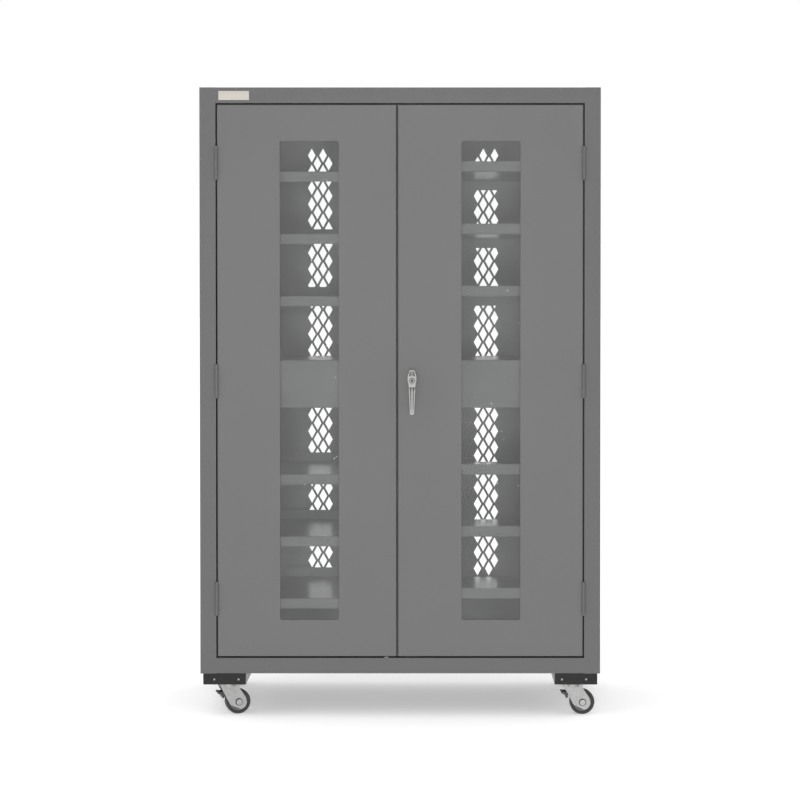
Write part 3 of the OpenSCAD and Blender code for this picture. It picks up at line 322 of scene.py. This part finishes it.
def plated_steel(name, colour, roughness=0.34):
    """Zinc plate: metal with a soft crystalline mottle and fine scuffs."""
    material, shader, tree = new_material(name, colour, roughness, 1.0)
    place = object_place(tree)
    mottle = wander(tree, place, PLATING_TONE, roughness=PLATING_ROUGHNESS)
    tree.links.new(tint(tree, colour, mottle), shader.inputs["Base Color"])
    dull = wander(tree, place, PLATING_GLOSS, roughness)
    tree.links.new(dull, shader.inputs["Roughness"])
    waves, strength, height = PLATING_BUMPS
    bump(tree, shader, noise(tree, place, waves), strength, height)
    return material


def brushed_metal(name, colour, roughness, grain):
    """Metal rubbed one way: fine streaks in tone, gloss and height."""
    material, shader, tree = new_material(name, colour, roughness, 1.0)
    streaks = noise(tree, stretched(tree, object_place(tree), grain), **STREAKS)
    tone = remap(tree, streaks, *MIDDLE, *STREAK_TONE)
    tree.links.new(tint(tree, colour, tone), shader.inputs["Base Color"])
    gloss = remap(tree, streaks, *MIDDLE, *(roughness + change for change in STREAK_GLOSS))
    tree.links.new(gloss, shader.inputs["Roughness"])
    bump(tree, shader, streaks, STREAK_STRENGTH, STREAK_HEIGHT)
    return material


def moulded(name, colour, roughness):
    """Moulded plastic or rubber with a fine grain and slight bloom."""
    material, shader, tree = new_material(name, colour, roughness)
    place = object_place(tree)
    bloom = wander(tree, place, MOULD_BLOOM)
    tree.links.new(tint(tree, colour, bloom), shader.inputs["Base Color"])
    waves, strength, height = MOULD_BUMPS
    bump(tree, shader, noise(tree, place, waves), strength, height)
    return material


def clear_sheet(name):
    """Clear polycarbonate: most light goes straight through, with a slight haze and a reflection
    that grows at a slant."""
    material, shader, tree = new_material(name, (0.8, 0.8, 0.8), 0.9)
    place = object_place(tree)
    through = tree.nodes.new("ShaderNodeBsdfTransparent")
    through.inputs["Color"].default_value = SHEET_CLEAR
    hazy = mixed(tree, wander(tree, place, SHEET_HAZE), through.outputs["BSDF"],
                 shader.outputs["BSDF"])
    gloss = tree.nodes.new("ShaderNodeBsdfGlossy")
    tree.links.new(wander(tree, place, SHEET_GLOSS), gloss.inputs["Roughness"])
    slant = tree.nodes.new("ShaderNodeFresnel")
    slant.inputs["IOR"].default_value = SHEET_IOR
    show(tree, mixed(tree, slant.outputs["Fac"], hazy, gloss.outputs["BSDF"]))
    return material


# What makes each material, its colour, its roughness, and then a paint's shine and peel or a
# rubbed metal's grain
LOOKS = {
    "case_paint": (powder_coat, (0.066, 0.066, 0.066)),
    "door_paint": (powder_coat, (0.076, 0.076, 0.076)),
    "inner_paint": (powder_coat, (0.064, 0.064, 0.064), 0.27, 0.3, 0),
    "zinc_steel": (plated_steel, (0.62, 0.62, 0.60)),
    "cast_zinc": (brushed_metal, (0.46, 0.455, 0.44), 0.26, (1, 1, 0.12)),
    "fork_zinc": (plated_steel, (0.38, 0.38, 0.375), 0.36),
    "bolt_zinc": (plated_steel, (0.36, 0.36, 0.35), 0.42),
    "black_paint": (powder_coat, (0.011, 0.011, 0.011), 0.45, 0.2),
    "black_plastic": (moulded, (0.02, 0.02, 0.02), 0.45),
    "switch_plastic": (moulded, (0.3, 0.02, 0.015), 0.25),
    "clear_sheet": (clear_sheet,),
    "bare_plate": (brushed_metal, (0.6, 0.57, 0.52), 0.4, (0.1, 1, 1)),
    "wheel_rubber": (moulded, (0.012, 0.012, 0.012), 0.55),
    "hub_plastic": (moulded, (0.1, 0.1, 0.1), 0.4),
    # Darker zinc for the handle's grooves and the ring round its lock: painted shade.
    "painted_shade_zinc": (plated_steel, (0.2, 0.2, 0.196), 0.5),
    "black_gloss": (moulded, (0.015, 0.015, 0.015), 0.22),
    "key_shadow": (moulded, (0.01, 0.01, 0.01), 0.6),
    "black_oxide": (plated_steel, (0.06, 0.06, 0.06), 0.45),
}
materials = {name: make(name, *values) for name, (make, *values) in LOOKS.items()}


# Mesh helpers

SHARP = 32  # degrees between two faces, above which their edge is sharp
CAD_FLAT = 0.4  # degrees between two triangles that belong to one flat face
DARK = 1  # index of a piece's second material, which holds painted shade
# Distances in metres within which two points are one, or a point counts as on a plane
CAD_WELD = 2e-6
SEAM_WELD = 1e-6
LEVEL = 1e-6
FLUSH = 1e-5
CUT_SNAP = 1e-7


def linked(name, bm):
    """A new object in the scene with this mesh."""
    mesh = bpy.data.meshes.new(name)
    bm.to_mesh(mesh)
    bm.free()
    made = bpy.data.objects.new(name, mesh)
    bpy.context.collection.objects.link(made)
    return made


def add_piece(name, bm, material, body, node=None, slot=None, second=None, crease=SHARP):
    """Links a finished mesh as a piece that rides on a body and, if given, stands for a CAD node.
    The slot argument is not used."""
    for face in bm.faces:
        face.smooth = True
    piece = linked(name, bm)
    piece.data.set_sharp_from_angle(angle=math.radians(crease))
    piece.data.materials.append(materials[material])
    if second:
        piece.data.materials.append(materials[second])
    normals = piece.modifiers.new("even_normals", "WEIGHTED_NORMAL")
    normals.keep_sharp = True
    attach(piece, body)
    if node:
        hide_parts(node)
        slot = slot or slots[node]


def whole_faces(node):
    """A copy of a CAD node's mesh with its loose triangles joined into whole faces."""
    bm = bmesh.new()
    bm.from_mesh(frame["nodes"][node].data)
    bmesh.ops.remove_doubles(bm, verts=bm.verts, dist=CAD_WELD)
    bmesh.ops.dissolve_limit(bm, angle_limit=math.radians(CAD_FLAT), verts=bm.verts,
                             edges=bm.edges)
    return bm


def corner_edges(bm, angle):
    """The edges whose two faces meet at more than this angle."""
    return [e for e in bm.edges if e.is_manifold and e.calc_face_angle(0) > math.radians(angle)]


def edges_at(verts):
    return {e for v in verts for e in v.link_edges}


def bevel(bm, edges, width, segments=2, material=-1):
    bmesh.ops.bevel(bm, geom=edges, offset=width * MM, offset_type="OFFSET", segments=segments,
                    profile=0.5, affect="EDGES", clamp_overlap=True, material=material)


def ease_edges(bm, width):
    """Rounds every sharp edge, as deburring and paint do."""
    bevel(bm, corner_edges(bm, SHARP), width)


# Small fittings, each made on its own place and then set where it belongs

FACING = {
    "Z": Matrix.Identity(4),
    "-Z": Matrix.Rotation(math.pi, 4, "X"),
    "Y": Matrix.Rotation(-math.pi / 2, 4, "X"),
    "-Y": Matrix.Rotation(math.pi / 2, 4, "X"),
}


def at(x, y, z, axis="Z"):
    """A place whose own Z points along the given axis."""
    return Matrix.Translation((x * MM, y * MM, z * MM)) @ FACING[axis]


def sized(size):
    """What stretches a cube of 1 metre to this size."""
    return Matrix.Diagonal((*[length * MM for length in size], 1))


def add_drum(bm, place, radius, height, edge=0.3, segments=32):
    """A round head, pin or washer that stands on the place, with its top edge eased."""
    made = bmesh.ops.create_cone(bm, segments=segments, radius1=radius * MM, radius2=radius * MM,
                                 depth=height * MM, cap_ends=True,
                                 matrix=place @ at(0, 0, height / 2))
    top = place @ Vector((0, 0, height * MM))
    up = place.to_3x3() @ Vector((0, 0, 1))
    rim = [e for e in edges_at(made["verts"])
           if all(abs((v.co - top).dot(up)) < LEVEL for v in e.verts)]
    bevel(bm, rim, edge)


def add_hexagon(bm, place, across, height):
    """A hexagon nut or bolt head that stands on the place, its top edges turned off."""
    add_drum(bm, place, across / math.sqrt(3), height, edge=0.5, segments=6)


def add_block(bm, place, size, edge):
    """A bar centred on the place, with eased edges."""
    made = bmesh.ops.create_cube(bm, size=1, matrix=place @ sized(size))
    bevel(bm, list(edges_at(made["verts"])), edge)


def spun(outline, steps=64):
    """A ring turned about its Y axis from a closed outline of (radius, y) points."""
    bm = bmesh.new()
    verts = [bm.verts.new((radius * MM, y * MM, 0)) for radius, y in outline]
    edges = [bm.edges.new(pair) for pair in zip(verts, verts[1:] + verts[:1])]
    bmesh.ops.spin(bm, geom=verts + edges, cent=(0, 0, 0), axis=(0, 1, 0), angle=math.tau,
                   steps=steps, use_merge=True)
    bmesh.ops.remove_doubles(bm, verts=bm.verts, dist=SEAM_WELD)
    bmesh.ops.recalc_face_normals(bm, faces=bm.faces)
    return bm


def mirrored(half):
    """An outline with its other half, whose y is the other way round."""
    return [*half, *((radius, -y) for radius, y in reversed(half))]


# Pieces that are the CAD's solids with eased edges: name, material and width of the edge

EASED = {
    "left_side_panel": ("left_side_sheet", "case_paint", 0.4),
    "right_side_panel": ("right_side_sheet", "case_paint", 0.4),
    "top_panel": ("top_and_header", "case_paint", 0.4),
    "bottom_panel": ("floor_and_sill", "case_paint", 0.4),
    "centre_partition": ("partition_sheet", "inner_paint", 0.4),
    "left_power_shelf": ("left_power_deck", "inner_paint", 0.4),
    "right_power_shelf": ("right_power_deck", "inner_paint", 0.4),
    "left_door": ("left_door_pan", "door_paint", 0.5),
    "right_door": ("right_door_pan", "door_paint", 0.5),
    "left_window_retainer": ("left_retainer_frame", "inner_paint", 0.3),
    "right_window_retainer": ("right_retainer_frame", "inner_paint", 0.3),
    "base_runners": ("runner_channels", "case_paint", 0.5),
    "back_panel": ("vented_back_sheet", "inner_paint", 0.25),
    "shelf_standards": ("slotted_standards", "zinc_steel", 0.15),
    "hinge_pins": ("hinge_pin_set", "case_paint", 0.9),
    "runner_end_plates": ("end_plates", "black_paint", 0.5),
    "frame_hinge_leaves": ("frame_leaves", "case_paint", 0.5),
    "left_hinge_leaves": ("left_door_leaves", "case_paint", 0.5),
    "right_hinge_leaves": ("right_door_leaves", "case_paint", 0.5),
    "blank_plate": ("header_plate", "bare_plate", 0.2),
    "latch_cam": ("cam_plate", "zinc_steel", 0.4),
    "upper_latch_rod": ("upper_rod", "zinc_steel", 0.5),
    "lower_latch_rod": ("lower_rod", "zinc_steel", 0.5),
    "rod_guides": ("guide_brackets", "zinc_steel", 0.5),
    "left_bolt_housings": ("bolt_plates", "zinc_steel", 0.5),
    "left_upper_bolt": ("upper_slide_bolt", "zinc_steel", 0.7),
    "left_lower_bolt": ("lower_slide_bolt", "zinc_steel", 0.7),
    "cord_grommets": ("grommet_rings", "black_plastic", 1.2),
    "caster_plates": ("caster_top_plates", "zinc_steel", 0.8),
    "shelf_clips": ("shelf_clip_set", "zinc_steel", 0.3),
    "power_strips": ("strip_bodies", "black_plastic", 0.8),
    "left_strip_switch": ("left_rocker", "switch_plastic", 0.5),
    "right_strip_switch": ("right_rocker", "switch_plastic", 0.5),
    "front_left_pedal": ("front_left_brake_pedal", "black_plastic", 1.0),
    "front_right_pedal": ("front_right_brake_pedal", "black_plastic", 1.0),
    "base_bolts": ("base_bolt_set", "bolt_zinc", 0.5),
}
for side in SIDES:
    for level in range(1, SHELVES + 1):
        EASED[f"{side}_shelf_{level}"] = (f"{side}_shelf_pan_{level}", "inner_paint", 0.35)
for corner in CORNERS:
    EASED[f"{corner}_fork"] = (f"{corner}_caster_fork", "fork_zinc", 0.8)


def make_eased_pieces():
    for node, (name, material, width) in EASED.items():
        bm = whole_faces(node)
        ease_edges(bm, width)
        add_piece(name, bm, material, body_of[node], node)


def paint_cad():
    """Gives the CAD's own nodes the material of their slot."""
    for node, shown in frame["nodes"].items():
        shown.data.materials.clear()
        shown.data.materials.append(materials[slots[node]])


# Handle and lock: places are (x, z) from the handle's pivot

PIVOT_X, _, PIVOT_Z = (v * TO_MM for v in joints["handle_turn"]["pos_m"])
HEAD_GROOVE = ((0.9, 12.2), (10.8, 11.2), (8.4, 26.0), (0.9, 31.0))
LEVER_GROOVE = ((0.9, -21.2), (7.8, -17.4), (5.0, -88.0), (0.9, -92.0))
RIB_NEAR, RIB_FAR = 1, 2.2  # the edges of the CAD's rib lie between these
RIB_GROWTH = 1.0
RIB_FLANK = 1.8
CROWN_FROM = 18  # the head is drawn in from here up
CROWN_HEIGHT = 16
CROWN_DRAW = 0.3
LOCK_R = 7.05

# What tells the handle's faces and edges apart
NOT_BACK = 0.3  # Y of the normal of a face that doesn't look back, at most
LOOKS_AHEAD = -0.6  # Y of the normal of a face that looks to the front, at most
OUTLINE_ANGLE = 40  # degrees
OUTLINE_DEPTH = 5  # the side walls of the outline are deeper than this,
OUTLINE_X = 5.5  # reach further out than this,
OUTLINE_CLEAR = 1  # and stay this far from the lock
LOCK_RIM = 0.3  # how near to the lock's radius its rim's edges are

# The mark near the tip: its height, its rim's outline, and the spot in it, a near-black disc that paints the
# shadow of a small hole
TIP_MARK_Z = -95.5
TIP_RIM = ((1.5, -0.3), (1.6, 0.1), (1.9, 0.3), (2.3, 0.3), (2.7, 0.1), (2.8, -0.3))
TIP_SPOT_R = 1.55
TIP_SPOT_H = 0.3
TIP_SPOT_BACK = 0.2

# The lock: the bright ring's width, how deep the keyway's faces begin, and how far the front's
# edges lie inside the plug's radius at most
RING_W = 1.5
KEYWAY_BACK = 0.2
PLUG_EDGE = 0.4
SHUTTER_DRUMS = ((3.3, 0.35), (2.3, 0.5))  # radius and height
SHUTTER_BAR = (0.9, 0.5, 3.4)
SHUTTER_BAR_X = 1.1
SHUTTER_BAR_OUT = 0.5


def from_pivot(point):
    """X and Z of a point from the handle's pivot."""
    return point.x * TO_MM - PIVOT_X, point.z * TO_MM - PIVOT_Z


def reach(point):
    """How far a point is from the handle's axis."""
    return math.hypot(*from_pivot(point))


def inside(point, outline):
    """Whether (x, z) lies in a convex outline, on either side of the handle's middle."""
    x, z = abs(point[0]), point[1]
    turns = [(bx - ax) * (z - az) - (bz - az) * (x - ax)
             for (ax, az), (bx, bz) in zip(outline, outline[1:] + outline[:1])]
    return all(t >= 0 for t in turns) or all(t <= 0 for t in turns)


def in_groove(points):
    return any(all(inside(from_pivot(p), groove) for p in points)
               for groove in (HEAD_GROOVE, LEVER_GROOVE))


def depth_of(face):
    return max(v.co.y for v in face.verts) - min(v.co.y for v in face.verts)


def make_handle():
    """The cast handle: a rounded outline, a wider rib, grooves painted darker as shade, and a ring
    of painted shadow round the lock."""
    bm = whole_faces("handle")
    for v in bm.verts:
        x, z = from_pivot(v.co)
        if RIB_NEAR < abs(x) < RIB_FAR and in_groove([v.co]) and z < 0:
            v.co.x += math.copysign(RIB_GROWTH * MM, x)
        if z > CROWN_FROM:
            v.co.x -= CROWN_DRAW * ((z - CROWN_FROM) / CROWN_HEIGHT) ** 2 * x * MM
    # Faces in the grooves beside the rib take the darker second material: painted shade.
    for face in bm.faces:
        beside_rib = abs(from_pivot(face.calc_center_median())[0]) > RIB_FLANK
        if beside_rib and face.normal.y < NOT_BACK and in_groove([v.co for v in face.verts]):
            face.material_index = DARK
    fronts = [e for e in corner_edges(bm, OUTLINE_ANGLE)
              if min(f.normal.y for f in e.link_faces) < LOOKS_AHEAD]
    outline = [e for e in fronts
               if max(depth_of(f) for f in e.link_faces) > OUTLINE_DEPTH * MM
               and max(abs(from_pivot(v.co)[0]) for v in e.verts) > OUTLINE_X
               and min(reach(v.co) for v in e.verts) > LOCK_R + OUTLINE_CLEAR]
    rim = [e for e in fronts if all(abs(reach(v.co) - LOCK_R) < LOCK_RIM for v in e.verts)]
    # The lock's rim is bevelled in the darker material: a painted shadow ring round the lock.
    bevel(bm, rim, 2.0, material=DARK)
    bevel(bm, outline, 1.6, segments=4)
    ease_edges(bm, 0.35)
    add_piece("cast_handle", bm, "cast_zinc", "handle", "handle", second="painted_shade_zinc")


def make_tip_mark():
    """The small round mark near the lever's tip: a raised rim about a dark spot, a painted shadow
    that stands for a small hole.
    """
    front = min(v.co.y for v in whole_faces("handle").verts) * TO_MM
    mark_z = PIVOT_Z + TIP_MARK_Z
    bm = spun(TIP_RIM, steps=32)
    turned = Matrix.Rotation(math.pi, 4, "Z")
    bmesh.ops.transform(bm, matrix=at(PIVOT_X, front, mark_z) @ turned, verts=bm.verts)
    bright = set(bm.faces)
    add_drum(bm, at(PIVOT_X, front + TIP_SPOT_BACK, mark_z, "-Y"), TIP_SPOT_R, TIP_SPOT_H,
             edge=0.05, segments=24)
    for face in set(bm.faces) - bright:
        face.material_index = DARK
    add_piece("lever_tip_mark", bm, "cast_zinc", "handle", slot="zinc_steel", second="key_shadow")


def make_lock():
    """The lock cylinder with a rounded rim and a keyway, and the shutter in the keyway; keyway, rim
    and shutter are near-black painted shadow.
    """
    bm = whole_faces("lock_plug")
    front = min(v.co.y for v in bm.verts)
    # Keyway faces and the rim's bevel take key_shadow: painted shadow in the keyway and round the plug.
    for face in bm.faces:
        middle = face.calc_center_median()
        if reach(middle) < LOCK_R - RING_W and middle.y > front + KEYWAY_BACK * MM:
            face.material_index = DARK
    rim = [e for e in bm.edges
           if all(abs(v.co.y - front) < FLUSH and reach(v.co) > LOCK_R - PLUG_EDGE
                  for v in e.verts)]
    bevel(bm, rim, 0.9, segments=3, material=DARK)
    ease_edges(bm, 0.2)
    add_piece("lock_cylinder", bm, "cast_zinc", "lock_plug", "lock_plug", second="key_shadow")
    # The shutter is all key_shadow, the painted shadow of the keyway.
    shutter = bmesh.new()
    front *= TO_MM
    for radius, height in SHUTTER_DRUMS:
        add_drum(shutter, at(PIVOT_X, front, PIVOT_Z, "-Y"), radius, height, edge=0.2)
    for side in (-1, 1):
        place = at(PIVOT_X + side * SHUTTER_BAR_X, front - SHUTTER_BAR_OUT, PIVOT_Z)
        add_block(shutter, place, SHUTTER_BAR, edge=0.1)
    add_piece("lock_shutter", shutter, "key_shadow", "lock_plug", slot="zinc_steel")


# Casters: outlines are (radius, y) points of one half

WHEEL_R = 38.1
TRAIL = 28
LEG_OUT = 22.0  # from the middle to the outside of the fork's legs
AXLE_NUT_H = 6
TYRE_CREASE = 50  # degrees
TYRE = ((27.1, -14.6), (28.4, -15.4), (29.6, -15.5), (30.2, -16), (35.6, -16), (36.7, -15.5),
        (37.5, -14.3), (37.9, -12.6), (38.1, -9), (38.1, -0.3), (38.0, -0.1))
CORE = ((6.2, -18.6), (10.8, -18.6), (11.8, -17.8), (12.4, -10.6), (13.6, -9.2), (21.4, -9.2),
        (22.6, -10.4), (23.2, -13.2), (24.2, -14.1), (26.9, -14.1))
SPOKES = 8  # on each face of the core
SPOKE = (11.6, 4.4, 2.6)
SPOKE_R = 17.4  # from the axle to a spoke's middle
SPOKE_Y = 10.6
AXLE_WASHER = (11.4, 0.9)  # radius and height
THREAD_END = (5.6, 1.6)


def caster_place(corner):
    """The caster's own place: X along its trail, Y along its axle, origin on the floor under the
    swivel."""
    x, y, _ = joints[corner + "_swivel"]["pos_m"]
    axle = joints[corner + "_roll"]["axis"]
    return Matrix.Translation((x, y, 0)) @ Matrix.Rotation(math.atan2(-axle[0], axle[1]), 4, "Z")


def make_wheel(corner):
    place = caster_place(corner) @ at(TRAIL, 0, WHEEL_R)
    wheel = corner + "_wheel"
    tyre = spun(mirrored(TYRE))
    bmesh.ops.transform(tyre, matrix=place, verts=tyre.verts)
    add_piece(corner + "_tyre", tyre, "wheel_rubber", wheel, wheel, crease=TYRE_CREASE)
    core = spun(mirrored(CORE))
    for k in range(SPOKES):
        turned = Matrix.Rotation(k * math.tau / SPOKES, 4, "Y")
        for face in (-1, 1):
            add_block(core, turned @ at(SPOKE_R, face * SPOKE_Y, 0), SPOKE, edge=0.6)
    bmesh.ops.transform(core, matrix=place, verts=core.verts)
    add_piece(corner + "_wheel_core", core, "hub_plastic", wheel, slot="black_plastic")


def make_axle_trim(corner):
    """Washers under the axle's head and nut, and the thread's end past the nut."""
    axle = caster_place(corner) @ at(TRAIL, 0, WHEEL_R)
    bm = bmesh.new()
    for side, outward in ((-1, "-Y"), (1, "Y")):
        add_drum(bm, axle @ at(0, side * LEG_OUT, 0, outward), *AXLE_WASHER, edge=0.25)
    add_drum(bm, axle @ at(0, LEG_OUT + AXLE_NUT_H, 0, "Y"), *THREAD_END, edge=0.6)
    add_piece(corner + "_axle_washers", bm, "black_oxide", corner + "_fork", slot="zinc_steel")


# Studs and nuts that hold the clear sheets

STUD_INSET = 4.2
STUD_ROWS = 8
WASHER_R = 4.4
WASHER_H = 0.8
NUT_ACROSS = 6.4
NUT_H = 2.8
STUD_R = 1.9
STUD_END = 2.2


def make_retainer_nuts(side):
    lo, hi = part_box(side + "_window_retainer")
    x0, z0, x1, z1 = (v * TO_MM for v in (lo.x, lo.z, hi.x, hi.z))
    back = hi.y * TO_MM
    span = z1 - z0 - 2 * STUD_INSET
    heights = [z0 + STUD_INSET + k * span / (STUD_ROWS - 1) for k in range(STUD_ROWS)]
    spots = [(x, z) for z in heights for x in (x0 + STUD_INSET, x1 - STUD_INSET)]
    spots += [((x0 + x1) / 2, z) for z in (z0 + STUD_INSET, z1 - STUD_INSET)]
    bm = bmesh.new()
    for x, z in spots:
        add_drum(bm, at(x, back, z, "Y"), WASHER_R, WASHER_H, edge=0.2, segments=24)
        add_hexagon(bm, at(x, back + WASHER_H, z, "Y"), NUT_ACROSS, NUT_H)
        add_drum(bm, at(x, back + WASHER_H + NUT_H, z, "Y"), STUD_R, STUD_END, edge=0.4,
                 segments=16)
    add_piece(side + "_retainer_nuts", bm, "zinc_steel", side + "_door")


# Faces of the outlets under the power shelves

STRIP_L = 480
STRIP_HEAD = 60  # length of a strip before its first outlet
STRIP_TAIL = 30  # and after its last
RECESS_D = 2  # depth of the recess that an outlet's face lies in
OUTLETS = 8
OUTLET = (26.4, 22.4, 1.5)
OUTLET_CORNER = 4.5
OUTLET_HOLES = ((-6.2, 2.2, 1.8, 8.2), (6.2, 2.2, 1.8, 6.8), (0, -5.6, 4.4, 4.6))
OUTLET_HOLE_D = 1.2


def pressed_plate(size, corner, holes, depth):
    """A plate facing Z with rounded corners and with rectangular holes (x, y, width, height) sunk
    into it."""
    bm = bmesh.new()
    bmesh.ops.create_cube(bm, size=1, matrix=sized(size))
    upright = [e for e in bm.edges if abs(e.verts[0].co.z - e.verts[1].co.z) > FLUSH]
    bevel(bm, upright, corner, segments=5)
    for x, y, width, height in holes:
        for point, normal in (((x - width / 2, 0, 0), (1, 0, 0)),
                              ((x + width / 2, 0, 0), (1, 0, 0)),
                              ((0, y - height / 2, 0), (0, 1, 0)),
                              ((0, y + height / 2, 0), (0, 1, 0))):
            bmesh.ops.bisect_plane(bm, geom=bm.verts[:] + bm.edges[:] + bm.faces[:],
                                   dist=CUT_SNAP, plane_co=[c * MM for c in point],
                                   plane_no=normal)
    top = size[2] / 2 * MM
    sunk = []
    for face in bm.faces:
        middle = face.calc_center_median()
        if abs(middle.z - top) < LEVEL and any(
                abs(middle.x * TO_MM - x) < width / 2 and abs(middle.y * TO_MM - y) < height / 2
                for x, y, width, height in holes):
            sunk.append(face)
    moved = bmesh.ops.extrude_face_region(bm, geom=sunk)
    floors = [v for v in moved["geom"] if isinstance(v, bmesh.types.BMVert)]
    bmesh.ops.translate(bm, verts=floors, vec=(0, 0, -depth * MM))
    bmesh.ops.delete(bm, geom=[f for f in sunk if f.is_valid], context="FACES")
    return bm


def make_outlets():
    strip_lo, strip_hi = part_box("power_strips")
    shelf_lo, shelf_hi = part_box("left_power_shelf")
    y = (strip_lo.y + strip_hi.y) / 2 * TO_MM
    z = strip_lo.z * TO_MM + RECESS_D - OUTLET[2] / 2
    start = (shelf_lo.x + shelf_hi.x) / 2 * TO_MM - STRIP_L / 2
    pitch = (STRIP_L - STRIP_HEAD - STRIP_TAIL) / OUTLETS
    plate = pressed_plate(OUTLET, OUTLET_CORNER, OUTLET_HOLES, OUTLET_HOLE_D)
    mesh = bpy.data.meshes.new("outlet")
    plate.to_mesh(mesh)
    plate.free()
    bm = bmesh.new()
    for side in (1, -1):
        for k in range(OUTLETS):
            x = side * (start + STRIP_HEAD + (k + 0.5) * pitch)
            before = set(bm.verts)
            bm.from_mesh(mesh)
            bmesh.ops.transform(bm, matrix=at(x, y, z, "-Z"), verts=list(set(bm.verts) - before))
    bpy.data.meshes.remove(mesh)
    add_piece("outlet_faces", bm, "black_gloss", "case", slot="black_plastic")


make_eased_pieces()
paint_cad()
make_handle()
make_tip_mark()
make_lock()
for corner in CORNERS:
    make_wheel(corner)
    make_axle_trim(corner)
for side in SIDES:
    make_retainer_nuts(side)
make_outlets()

make_camera()
make_studio()
make_reflections()
make_floor()
